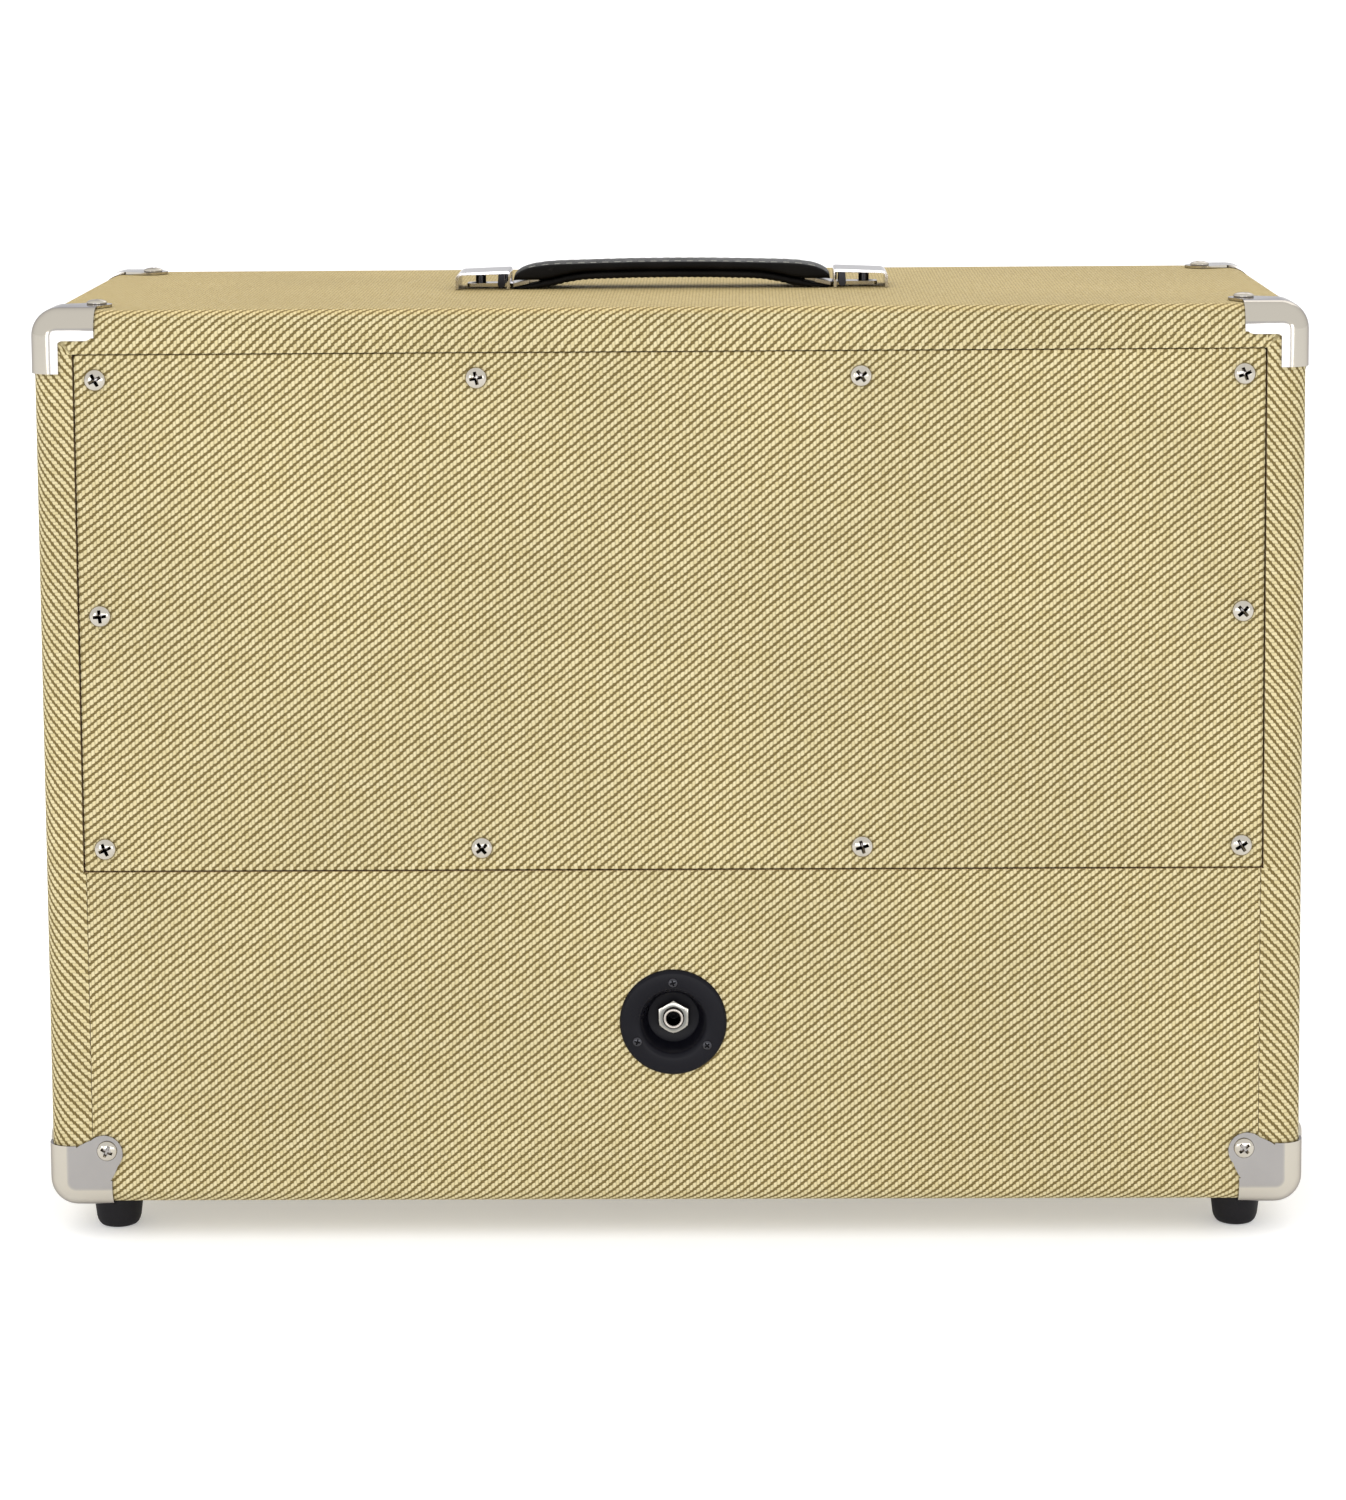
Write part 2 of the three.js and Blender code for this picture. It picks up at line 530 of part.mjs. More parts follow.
function addSpeaker() {
  const speaker = group(0, FLANGE_Y, SPEAKER_Z);
  const [mouth, rim] = [139, 154.5];

  // Basket: flange, sloping wall with six windows and a flat rear plate, all 2 mm steel.
  const pan = turned('y', [
    [mouth, 0], [rim, 0], [rim, 2], [142, 2], [140, 10], [74, 64], [72.5, 78],
    [30, 78], [30, 76], [70.5, 76], [72, 62.5], [137.7, 8.5],
  ], ROUND);
  const halfWindow = THREE.MathUtils.degToRad(21);
  const windowAt = (middle) => [[78, -1], [150, -1], [150, 1], [78, 1]].map(([r, side]) => {
    const angle = middle + side * halfWindow;
    return [r * Math.cos(angle), r * Math.sin(angle)];
  });
  const basket = [0, 1, 2, 3, 4, 5]
    .map((i) => prism('y', windowAt((i * Math.PI) / 3), 12, 62))
    .reduce((body, cutter) => body.subtract(cutter), pan);
  add('speaker_basket', basket, BLACK_STEEL, speaker);

  const seal = [[141.5, -GAP - GASKET], [rim, -GAP - GASKET], [rim, -GAP], [141.5, -GAP]];
  add('speaker_gasket', turned('y', seal, ROUND), PAPER, speaker);

  const edge = [
    [140.6, -1.3], [137, -1.5], [134.6, 0.6], [132.2, -1.5], [130, 0.4], [128.3, 0.4],
    [128.3, 1.2], [130.4, 1.2], [132.2, -0.4], [134.6, 1.7], [137.4, -0.4], [140.6, -0.4],
  ];
  add('speaker_surround', turned('y', edge, ROUND), PAPER, speaker);

  const cone = [[127.8, 0.6], [127.8, 1.8], [70, 33.4], [24.4, 54.2], [24.4, 52.8], [70, 32.2]];
  add('speaker_cone', turned('y', cone, ROUND), PAPER, speaker);
  const cap = [[0, 39.6], [16, 42], [29.4, 49.2], [28.4, 49.4], [15.4, 43], [0, 40.6]];
  add('speaker_dust_cap', turned('y', cap, ROUND), PAPER, speaker);
  const former = [[22, 50.6], [22.8, 50.6], [22.8, 96], [22, 96]];
  add('speaker_voice_coil', turned('y', former, ROUND), COIL_FORMER, speaker);

  const waves = [[23.3, 66], [34, 64.4], [42, 67.6], [50, 64.4], [58, 67.6], [69.4, 66]];
  const backs = waves.map(([r, along]) => [r, along + 0.9]).reverse();
  add('speaker_spider', turned('y', [...waves, ...backs], ROUND), SPIDER_CLOTH, speaker);

  const topPlate = [[24, 78.3], [60, 78.3], [60, 86.3], [24, 86.3]];
  add('magnet_top_plate', turned('y', topPlate, ROUND), STEEL, speaker);
  const magnet = [[32, 86.6], [72, 86.6], [72, 104.6], [32, 104.6]];
  add('magnet_ring', turned('y', magnet, ROUND), FERRITE, speaker);
  const pole = [[0, 80], [21.2, 80], [21.2, 104.9], [60, 104.9], [60, 113], [0, 113]];
  add('magnet_pole_and_back_plate', turned('y', pole, ROUND), STEEL, speaker);

  const strip = box([-15, 15], [2.6, 13.6], [-TERMINAL_R - 2, -TERMINAL_R]);
  add('terminal_strip', strip, PHENOLIC, speaker);
}

// ---------------------------------------------------------------- speaker lead

// A two-core lead from the solder tags of the jack to the terminal strip, laid in a shallow sag.
function addSpeakerLead() {
  const route = new THREE.CatmullRomCurve3([
    new THREE.Vector3(0, BACK - 61, JACK_Z - 3),
    new THREE.Vector3(0, BACK - 75, JACK_Z - 24),
    new THREE.Vector3(0, 10, 58),
    new THREE.Vector3(0, -50, 62),
    new THREE.Vector3(0, FLANGE_Y + 9, SPEAKER_Z - TERMINAL_R - 5),
  ]);
  const section = new THREE.Shape().absarc(0, 0, 2.2, 0, Math.PI * 2);
  const geometry = new THREE.ExtrudeGeometry(section, { steps: 24, curveSegments: 4, extrudePath: route });
  add('speaker_lead', solid(geometry), CABLE_JACKET);
}

// ---------------------------------------------------------------- grille

const GRILLE_SETBACK = 8; // from the front of the cabinet to the face of the grille cloth
const GRILLE_CLEARANCE = 0.8;
const GRILLE_CLOTH_THICK = 0.8;
const GRILLE_BAR = 45;

function addGrille() {
  const x = INSIDE_X - SKIN - GRILLE_CLEARANCE;
  const [low, high] = [INSIDE_BOTTOM + SKIN + GRILLE_CLEARANCE, INSIDE_TOP - SKIN - GRILLE_CLEARANCE];
  const face = FRONT + GRILLE_SETBACK;
  const rear = BAFFLE_Y - GAP;
  const t = GRILLE_CLOTH_THICK;
  const outside = box([-x, x], [face, rear], [low, high]);
  const pocket = box([-x + t, x - t], [face + t, rear + 1], [low + t, high - t]);
  add('grille_cloth', outside.subtract(pocket), GRILLE_CLOTH);

  const k = t + GAP;
  const bar = k + GRILLE_BAR;
  const board = box([-x + k, x - k], [face + k, rear], [low + k, high - k]);
  const light = box([-x + bar, x - bar], [face, rear + 1], [low + bar, high - bar]);
  add('grille_frame', board.subtract(light), PLYWOOD);
}

addBoards();
addTweed();
addAccessScrews();
addCornerProtectors();
addFeet();
addHandle();
addJack();
addSpeaker();
addSpeakerLead();
addGrille();

export default amplifier;
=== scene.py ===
"""A closed-back extension speaker cabinet in tweed cloth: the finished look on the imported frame.
Lengths are in millimetres in the mesh code and become metres in piece()."""
import bmesh
import bpy
import numpy as np
from math import cos, dist, pi, radians, sin
from mathutils import Matrix, Vector
from mathutils.geometry import tessellate_polygon


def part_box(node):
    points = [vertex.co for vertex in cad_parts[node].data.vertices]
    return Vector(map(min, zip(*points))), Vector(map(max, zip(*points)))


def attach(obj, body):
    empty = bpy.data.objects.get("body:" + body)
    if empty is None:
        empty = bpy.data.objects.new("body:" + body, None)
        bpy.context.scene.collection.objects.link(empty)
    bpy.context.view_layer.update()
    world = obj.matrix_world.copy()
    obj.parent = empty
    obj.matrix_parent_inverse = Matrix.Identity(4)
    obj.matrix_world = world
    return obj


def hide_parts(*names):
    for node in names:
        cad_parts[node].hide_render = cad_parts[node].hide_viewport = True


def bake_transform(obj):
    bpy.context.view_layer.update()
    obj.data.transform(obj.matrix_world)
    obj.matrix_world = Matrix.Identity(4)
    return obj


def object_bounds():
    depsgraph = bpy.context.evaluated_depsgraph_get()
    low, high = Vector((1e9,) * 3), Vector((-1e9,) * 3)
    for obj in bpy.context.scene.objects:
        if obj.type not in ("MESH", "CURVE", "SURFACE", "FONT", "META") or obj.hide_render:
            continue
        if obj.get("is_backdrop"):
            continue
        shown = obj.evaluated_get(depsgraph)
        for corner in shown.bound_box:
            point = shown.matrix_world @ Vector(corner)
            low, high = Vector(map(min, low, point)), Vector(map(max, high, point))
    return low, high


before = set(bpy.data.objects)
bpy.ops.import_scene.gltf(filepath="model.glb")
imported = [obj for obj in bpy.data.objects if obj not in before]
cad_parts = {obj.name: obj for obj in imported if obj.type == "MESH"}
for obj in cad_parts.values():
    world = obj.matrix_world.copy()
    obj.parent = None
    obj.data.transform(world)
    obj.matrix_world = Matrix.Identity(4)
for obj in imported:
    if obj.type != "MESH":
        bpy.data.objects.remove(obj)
cad_box = [list(map(float, corner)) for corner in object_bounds()]
collection = bpy.context.scene.collection

# ------------ sizes shared with the CAD

SIDE, BACK, BOTTOM, TOP = 301.5, 130.0, 17.5, 451.5
CORNER_R, EDGE_R = 12.0, 9.5
INSIDE_X, INSIDE_LOW, INSIDE_HIGH = 282.6, 36.4, 432.6
SEAM_Z, LOWER_X, WINDOW_TOP = 181.4, 280.9, 431.2
PANEL_X, PANEL_LOW, PANEL_HIGH = 281.9, 182.0, 430.8
JACK_Z, JACK_HOLE = 107.4, 18.6
LIP_END = -114.0
SPEAKER_Z = 234.5
SIDES = (("left", -1), ("right", 1))

# ------------ camera, light and floor


def camera():
    """A long lens behind the box, near the height of its top."""
    yaw, pitch, roll = 0.0185, 0.1152, -0.0077  # pitch looks down
    forward = Vector((sin(yaw), -cos(yaw), 0))
    right = Vector((-cos(yaw), -sin(yaw), 0))
    up = Vector((0, 0, 1))
    forward, up = forward * cos(pitch) - up * sin(pitch), up * cos(pitch) + forward * sin(pitch)
    right, up = right * cos(roll) + up * sin(roll), up * cos(roll) - right * sin(roll)
    data = bpy.data.cameras.new("camera")
    data.sensor_width = 36
    data.lens = 106.4976
    data.shift_x, data.shift_y = 1 / 150, -0.2
    data.clip_end = 200
    made = bpy.data.objects.new("camera", data)
    collection.objects.link(made)
    turn = Matrix((right, up, -forward)).transposed().to_4x4()
    made.matrix_world = Matrix.Translation((-0.0358, 2.2173, 0.6257)) @ turn
    bpy.context.scene.camera = made


def softbox(name, place, aim, size, radiance, mirrored=True):
    data = bpy.data.lights.new(name, "AREA")
    data.shape, data.size, data.size_y = "RECTANGLE", size[0], size[1]
    data.energy = radiance * pi * size[0] * size[1]
    made = bpy.data.objects.new(name, data)
    collection.objects.link(made)
    made.location = place
    made.visible_camera = False
    made.visible_glossy = mirrored
    made.rotation_mode = "QUATERNION"
    made.rotation_quaternion = (Vector(aim) - Vector(place)).to_track_quat("-Z", "Y")


def studio():
    world = bpy.data.worlds.new("studio")
    world.use_nodes = True
    background = world.node_tree.nodes["Background"]
    background.inputs["Color"].default_value = (1, 1, 1, 1)
    background.inputs["Strength"].default_value = 1.1
    bpy.context.scene.world = world
    softbox("low_back", (0.0, 4.3, 0.42), (0, 0, 0.42), (3.4, 0.82), 3.1)
    softbox("high_back", (0.9, 2.6, 3.0), (0, 0, 0.2), (3.2, 3.0), 1.3, mirrored=False)
    for name, side in SIDES:
        softbox("strip_" + name, (side * 2.45, 3.8, 0.5), (0, 0, 0.3), (0.8, 1.0), 3.0)
    softbox("high_front", (-1.0, -3.2, 2.4), (0, 0, 0.2), (2.6, 2.0), 1.3)
    scene = bpy.context.scene
    scene.view_settings.view_transform = "Standard"


# ------------ materials


class Look:
    """One node material. Calls return output sockets, and numbers or sockets may be passed in."""

    def __init__(self, name, **fixed):
        self.material = bpy.data.materials.new(name)
        self.material.use_nodes = True
        self.tree = self.material.node_tree
        self.shader = self.tree.nodes["Principled BSDF"]
        for key, value in fixed.items():
            self.set(self.shader, key.replace("_", " "), value)

    def set(self, node, key, value):
        socket = node.inputs[key]
        if isinstance(value, bpy.types.NodeSocket):
            self.tree.links.new(value, socket)
        else:
            if isinstance(value, (tuple, list)) and len(value) == 3 and socket.type == "RGBA":
                value = (*value, 1)
            socket.default_value = value

    def node(self, kind, out, inputs=(), **props):
        made = self.tree.nodes.new("ShaderNode" + kind)
        for key, value in props.items():
            setattr(made, key, value)
        for key, value in dict(inputs).items():
            self.set(made, key, value)
        return made.outputs[out]

    def math(self, operation, a, b=0.0, c=0.0):
        return self.node("Math", 0, {0: a, 1: b, 2: c}, operation=operation)

    def add(self, a, b):
        return self.math("ADD", a, b)

    def minus(self, a, b):
        return self.math("SUBTRACT", a, b)

    def times(self, a, b):
        return self.math("MULTIPLY", a, b)

    def fused(self, a, b, c):
        """a times b, plus c."""
        return self.math("MULTIPLY_ADD", a, b, c)

    def modulo(self, a, b):
        return self.math("FLOORED_MODULO", a, b)

    def in_cell(self, value):
        """Where value lies in its unit cell, from -1 to 1."""
        return self.fused(self.math("FRACT", value), 2, -1)

    def hump(self, value):
        """1 in the middle of a cell and 0 at its edges."""
        return self.minus(1, self.times(value, value))

    def place(self):
        return self.node("TexCoord", "Object")

    def split(self, vector):
        cut = self.tree.nodes.new("ShaderNodeSeparateXYZ")
        self.set(cut, 0, vector)
        return cut.outputs

    def join(self, x, y, z=0.0):
        return self.node("CombineXYZ", 0, {0: x, 1: y, 2: z})

    def scaled(self, vector, scale):
        return self.node("Mapping", 0, {"Vector": vector, "Scale": scale})

    def noise(self, vector, scale, detail=2.0, rough=0.5, distortion=0.0):
        return self.node("TexNoise", "Fac", {
            "Vector": vector, "Scale": scale, "Detail": detail, "Roughness": rough,
            "Distortion": distortion})

    def ramp(self, value, low, high, to_low=0.0, to_high=1.0, smooth=True):
        return self.node("MapRange", 0, {
            0: value, 1: low, 2: high, 3: to_low, 4: to_high},
            interpolation_type="SMOOTHSTEP" if smooth else "LINEAR")

    def varied(self, vector, scale, detail, to_low=0.0, to_high=1.0):
        """A slowly wandering value between the two given ones."""
        return self.ramp(self.noise(vector, scale, detail), 0.3, 0.7, to_low, to_high)

    def mix(self, factor, a, b, blend="MIX"):
        made = self.tree.nodes.new("ShaderNodeMix")
        made.data_type, made.blend_type = "RGBA", blend
        self.set(made, 0, factor)
        self.set(made, 6, a)
        self.set(made, 7, b)
        return made.outputs[2]

    def shaded(self, color, factor):
        grey = self.node("CombineColor", 0, {0: factor, 1: factor, 2: factor})
        return self.mix(1.0, color, grey, "MULTIPLY")

    def bump(self, height, distance, strength=1.0):
        return self.node("Bump", 0, {"Height": height, "Distance": distance, "Strength": strength})

    def finish(self, color, rough=None, normal=None):
        self.set(self.shader, "Base Color", color)
        if rough is not None:
            self.set(self.shader, "Roughness", rough)
        if normal is not None:
            self.set(self.shader, "Normal", normal)
        return self.material


STRIP = "strip"  # the cloth's own map: along and across the strip it was cut from, in metres


def twill_look():
    """Lacquered 2/1 twill: cream yarns with stepped brown diagonals, in the strip's own axes."""
    k = Look("tweed_twill", Specular_IOR_Level=0.07)
    along, rise = 0.001623, 0.001362
    spot = k.tree.nodes.new("ShaderNodeUVMap")
    spot.uv_map = STRIP
    spot = spot.outputs[0]
    u, v, _ = k.split(spot)
    wander = k.fused(k.noise(spot, 260, 3), 0.9, -0.45)
    u = k.add(k.math("DIVIDE", u, along), wander)
    v = k.add(k.math("DIVIDE", v, rise), k.fused(k.noise(spot, 55, 2), 0.8, -0.4))
    i, j = k.math("FLOOR", u), k.math("FLOOR", v)
    x = k.in_cell(u)
    y = k.in_cell(v)
    step = k.modulo(k.add(k.minus(i, j), 0.25), 3)
    own = k.math("LESS_THAN", step, 1)
    slope = k.minus(u, v)
    band = k.math("ABSOLUTE", k.minus(k.modulo(k.add(slope, 1.5), 3), 1.5))
    band = k.minus(band, k.times(own, 0.3))
    fray = k.fused(k.noise(spot, 1700, 2, 0.7), 0.5, -0.25)
    brown = k.ramp(k.add(band, fray), 0.74, 0.34)
    warp = k.hump(x)
    weft = k.hump(y)
    height = k.add(k.times(warp, k.minus(1, brown)), k.times(weft, brown))
    lift = k.fused(k.minus(1, brown), 0.55, height)
    fibre = k.noise(k.scaled(spot, (1.0, 0.35, 1.0)), 5200, 2, 0.6)
    slub = k.noise(k.join(k.times(i, 0.37), k.times(v, 0.02)), 9, 1)
    cream = k.mix(k.ramp(slub, 0.3, 0.7), (0.565, 0.482, 0.268), (0.636, 0.556, 0.340))
    cream = k.mix(k.times(fibre, 0.35), cream, (0.455, 0.378, 0.196))
    dark = k.mix(k.noise(spot, 900, 2), (0.128, 0.092, 0.032), (0.205, 0.154, 0.061))
    color = k.mix(brown, cream, dark)
    shade = k.ramp(height, 0.0, 0.8, 0.66, 1.0)
    color = k.shaded(color, shade)
    patch = k.varied(spot, 7, 3, 0.95, 1.04)
    color = k.shaded(color, patch)
    # painted light: faces that point up are made warmer and brighter, for the light grazing the top
    top_painted_light = k.ramp(k.split(k.node("NewGeometry", "True Normal"))[2], 0.6, 0.95)
    color = k.mix(top_painted_light, color, k.mix(1.0, color, (1.0, 0.93, 0.80), "MULTIPLY"))
    color = k.mix(k.times(top_painted_light, 0.07), color, (1.0, 0.80, 0.40), "ADD")
    rough = k.ramp(fibre, 0.2, 0.8, 0.62, 0.84)
    normal = k.bump(k.fused(fibre, 0.35, lift), 0.00016, 0.8)
    return k.finish(color, rough, normal)


def grille_look():
    """Open plain weave in dark brown with a thin gold thread."""
    k = Look("grille_weave")
    spot = k.place()
    x, _, z = k.split(spot)
    u, v = k.times(x, 620), k.times(z, 620)
    over = k.math("LESS_THAN", k.modulo(k.add(k.math("FLOOR", u), k.math("FLOOR", v)), 2), 0.5)
    a = k.in_cell(u)
    b = k.in_cell(v)
    warp = k.hump(a)
    weft = k.hump(b)
    height = k.add(k.times(warp, over), k.times(weft, k.minus(1, over)))
    gold = k.math("LESS_THAN", k.modulo(k.math("FLOOR", u), 9), 0.5)
    gold = k.times(gold, k.math("LESS_THAN", k.modulo(k.math("FLOOR", v), 4), 1.5))
    base = k.mix(k.noise(spot, 420, 3), (0.052, 0.024, 0.014), (0.115, 0.058, 0.034))
    base = k.mix(gold, base, (0.50, 0.36, 0.16))
    shade = k.ramp(height, 0.0, 0.6, 0.25, 1.0)
    color = k.shaded(base, shade)
    return k.finish(color, k.varied(spot, 900, 2, 0.65, 0.85), k.bump(height, 0.0004, 0.9))


def metal_look(name, low, high, rough, brushed=None, scratch=0.00001, edge=(0.5, 0.49, 0.51), painted_edge_light=None):
    """Bare or plated metal with faint wear; brushed stretches the grain along one axis, and
    the last colour, if given, is painted on every surface that turns away from the flat faces, as a painted
    reflection."""
    k = Look(name, Metallic=1.0, Specular_Tint=edge)
    spot = k.place()
    grain = k.noise(k.scaled(spot, brushed or (1.0, 1.0, 1.0)), 900 if brushed else 140, 4, 0.6)
    cloud = k.noise(spot, 22, 4, 0.6)
    color = k.mix(k.ramp(cloud, 0.3, 0.7), low, high)
    # painted reflection: surfaces turning away from the flats take a lighter colour for the bright
    # surroundings they mirror
    if painted_edge_light is not None:
        x, y, z = (k.math("ABSOLUTE", c) for c in k.split(k.node("NewGeometry", "Normal")))
        flat = k.math("MAXIMUM", x, k.math("MAXIMUM", y, z))
        color = k.mix(k.ramp(flat, 0.9985, 0.98), color, painted_edge_light)
    smear = k.add(k.ramp(cloud, 0.25, 0.75, rough[0], rough[1]), k.fused(grain, 0.06, -0.03))
    return k.finish(color, smear, k.bump(grain, scratch, 0.6))


def bushing_look():
    """Nickel outside, with painted shade inside the bore."""
    k = Look("bushing_plate", Metallic=1.0, Specular_Tint=(0.5, 0.49, 0.51))
    spot = k.place()
    x, y, z = k.split(spot)
    up = k.minus(z, JACK_Z / 1000)
    radius = k.math("SQRT", k.add(k.times(x, x), k.times(up, up)))
    # painted shade: the inside of the bore is coloured near black, for the shadow within the tube
    inside = k.times(k.math("LESS_THAN", radius, 0.00345), k.math("LESS_THAN", y, 0.1236))
    plate = k.mix(k.noise(spot, 300, 3), (0.40, 0.365, 0.33), (0.52, 0.48, 0.44))
    color = k.mix(inside, plate, (0.004, 0.004, 0.004))
    return k.finish(color, k.varied(spot, 200, 2, 0.12, 0.2), k.bump(k.noise(spot, 900, 2), 0.00001, 0.4))


def coat_look(name, low, high, rough, scale=2600.0, distance=0.00006, speck=None, sheen=0.0, gloss=0.25):
    """Paint, rubber, leather, paper and the like: a fine grain with slow colour variation."""
    k = Look(name, Sheen_Weight=sheen, Specular_IOR_Level=gloss)
    spot = k.place()
    grain = k.noise(spot, scale, 4, 0.6)
    cloud = k.noise(spot, 30, 4, 0.6)
    color = k.mix(k.ramp(k.add(k.times(grain, 0.4), k.times(cloud, 0.6)), 0.3, 0.7), low, high)
    if speck is not None:
        color = k.mix(k.ramp(k.noise(spot, scale * 0.35, 1), 0.66, 0.72), color, speck)
    return k.finish(color, k.ramp(cloud, 0.25, 0.75, rough[0], rough[1]), k.bump(grain, distance, 0.7))


def leather_look():
    k = Look("strap_leather", Specular_IOR_Level=0.07)
    spot = k.place()
    cells = k.node("TexVoronoi", "Distance", {"Vector": spot, "Scale": 1500.0}, feature="DISTANCE_TO_EDGE")
    crease = k.ramp(cells, 0.0, 0.14)
    cloud = k.noise(spot, 60, 4, 0.6)
    color = k.mix(k.ramp(cloud, 0.3, 0.7), (0.0028, 0.0024, 0.0021), (0.0058, 0.0050, 0.0044))
    color = k.mix(k.ramp(k.noise(spot, 300, 3), 0.62, 0.8), color, (0.012, 0.0105, 0.0092))
    height = k.fused(k.noise(spot, 4000, 2), 0.3, crease)
    return k.finish(color, k.ramp(cloud, 0.25, 0.75, 0.34, 0.5), k.bump(height, 0.00007, 0.8))


def thread_look():
    k = Look("stitching_thread", Sheen_Weight=0.2)
    spot = k.place()
    x, y, z = k.split(spot)
    twist = k.math("SINE", k.times(k.add(x, k.add(y, z)), 9000))
    # painted shade in the grooves of the twist, lighter on its crests
    color = k.mix(k.ramp(twist, -0.6, 0.6), (0.22, 0.215, 0.19), (0.44, 0.43, 0.38))
    return k.finish(color, k.varied(spot, 2500, 2, 0.6, 0.8), k.bump(twist, 0.00006, 0.7))


def ply_look(name, grain_axis, stack_axis):
    """Birch plywood: long grain on the faces and thin plies along stack_axis on the cut edges."""
    k = Look(name)
    spot = k.place()
    stretch = [1.0, 1.0, 1.0]
    stretch[grain_axis] = 0.06
    long_grain = k.noise(k.scaled(spot, tuple(stretch)), 240, 5, 0.65, 0.4)
    pores = k.noise(k.scaled(spot, tuple(stretch)), 1500, 2, 0.6)
    through = k.split(spot)[stack_axis]
    ply = k.modulo(k.math("FLOOR", k.math("DIVIDE", through, 0.00147)), 2)
    normal_axis = k.split(k.node("NewGeometry", "True Normal"))[stack_axis]
    edge = k.ramp(k.math("ABSOLUTE", normal_axis), 0.75, 0.45)
    color = k.mix(k.ramp(long_grain, 0.3, 0.7), (0.50, 0.33, 0.17), (0.70, 0.52, 0.30))
    color = k.mix(k.ramp(pores, 0.6, 0.72, 0, 0.5), color, (0.30, 0.18, 0.085))
    cut = k.mix(ply, (0.30, 0.18, 0.085), (0.60, 0.43, 0.24))
    color = k.mix(k.times(edge, 0.8), color, cut)
    height = k.add(long_grain, k.times(pores, 0.4))
    return k.finish(color, k.ramp(long_grain, 0.3, 0.7, 0.55, 0.75), k.bump(height, 0.00012, 0.6))


def coil_look():
    k = Look("coil_and_former")
    spot = k.place()
    turn = k.math("SINE", k.times(k.split(spot)[1], 2 * pi / 0.0004))
    # painted shade between the turns of the wire, brighter on their crowns
    wire = k.mix(k.ramp(turn, -0.7, 0.7), (0.20, 0.06, 0.02), (0.66, 0.26, 0.10))
    paper = k.mix(k.noise(spot, 900, 3), (0.20, 0.12, 0.06), (0.32, 0.20, 0.10))
    color = k.mix(k.math("GREATER_THAN", k.split(spot)[1], -0.024), paper, wire)
    return k.finish(color, k.varied(spot, 600, 2, 0.35, 0.55), k.bump(turn, 0.00008, 0.6))


def spider_look():
    k = Look("spider_cloth")
    spot = k.place()
    x, _, z = k.split(spot)
    weave = k.times(k.math("SINE", k.times(x, 7000)), k.math("SINE", k.times(z, 7000)))
    color = k.mix(k.varied(spot, 200, 4), (0.34, 0.18, 0.05), (0.55, 0.33, 0.12))
    # painted shade where the weave dips
    color = k.mix(k.ramp(weave, -0.8, 0.2, 0.5, 0.0), color, (0.16, 0.08, 0.025))
    return k.finish(color, k.ramp(weave, -1, 1, 0.7, 0.9), k.bump(weave, 0.0002, 0.7))


TWEED = twill_look()
GRILLE = grille_look()
# the last colour is painted reflection: rounded edges and screw domes are made lighter and warmer than the
# flats
NICKEL = metal_look("nickel_plate", (0.335, 0.322, 0.315), (0.362, 0.348, 0.340), (0.07, 0.14),
                    painted_edge_light=(0.52, 0.485, 0.42))
CHROME = metal_look("bright_plate", (0.50, 0.49, 0.51), (0.57, 0.56, 0.58), (0.04, 0.1))
# near-black steel: the dish screws' own colour, and painted shade on the cap's nickel posts and lugs; the
# last colour is a painted highlight on rounded edges
BLACK_STEEL_AND_SHADE = metal_look("black_steel_and_painted_shade", (0.018, 0.018, 0.021), (0.034, 0.034, 0.04), (0.16, 0.28),
                       painted_edge_light=(0.055, 0.055, 0.062))
BUSHING = bushing_look()
# darker than the other nickel, with a painted highlight on the chamfers and rounds of the nut
NUT = metal_look("darker_nickel_painted_edge_light", (0.19, 0.192, 0.18), (0.27, 0.27, 0.252), (0.12, 0.2),
                 painted_edge_light=(0.40, 0.385, 0.35))
ZINC = metal_look("zinc_steel", (0.26, 0.26, 0.265), (0.38, 0.38, 0.38), (0.28, 0.42), (1.0, 0.05, 1.0))
BRASS = metal_look("contact_metal", (0.62, 0.50, 0.30), (0.72, 0.60, 0.38), (0.2, 0.32))
DISH = coat_look("satin_black_powder", (0.0035, 0.0034, 0.0056), (0.0062, 0.006, 0.0092),
                 (0.26, 0.36), 1900, 0.00003, gloss=0.12)
BASKET = coat_look("black_basket_paint", (0.010, 0.010, 0.011), (0.022, 0.022, 0.024),
                   (0.3, 0.42), 700, 0.00004)
RUBBER = coat_look("moulded_rubber", (0.006, 0.0056, 0.0068), (0.012, 0.0111, 0.0129),
                   (0.5, 0.7), 1500, 0.00008, gloss=0.16)
LEATHER = leather_look()
THREAD = thread_look()
PAPER = coat_look("cone_paper", (0.013, 0.012, 0.011), (0.035, 0.032, 0.029),
                  (0.8, 0.95), 900, 0.00025, (0.09, 0.08, 0.07))
GASKET = coat_look("gasket_fibre", (0.05, 0.042, 0.034), (0.10, 0.085, 0.068),
                   (0.8, 0.95), 1200, 0.0002, (0.16, 0.13, 0.10))
FERRITE = coat_look("ferrite", (0.018, 0.018, 0.02), (0.045, 0.045, 0.05),
                    (0.5, 0.7), 500, 0.0002, (0.09, 0.09, 0.095))
PHENOLIC = coat_look("phenolic_board", (0.13, 0.06, 0.022), (0.22, 0.11, 0.045), (0.35, 0.5), 1400, 0.00005)
CABLE = coat_look("cable_jacket", (0.008, 0.008, 0.008), (0.018, 0.018, 0.018), (0.35, 0.5), 800, 0.00005)
COIL, SPIDER = coil_look(), spider_look()
PLY_TOP = ply_look("plywood_level", 0, 2)
PLY_SIDE = ply_look("plywood_side", 2, 0)
PLY_BACK = ply_look("plywood_upright", 0, 1)

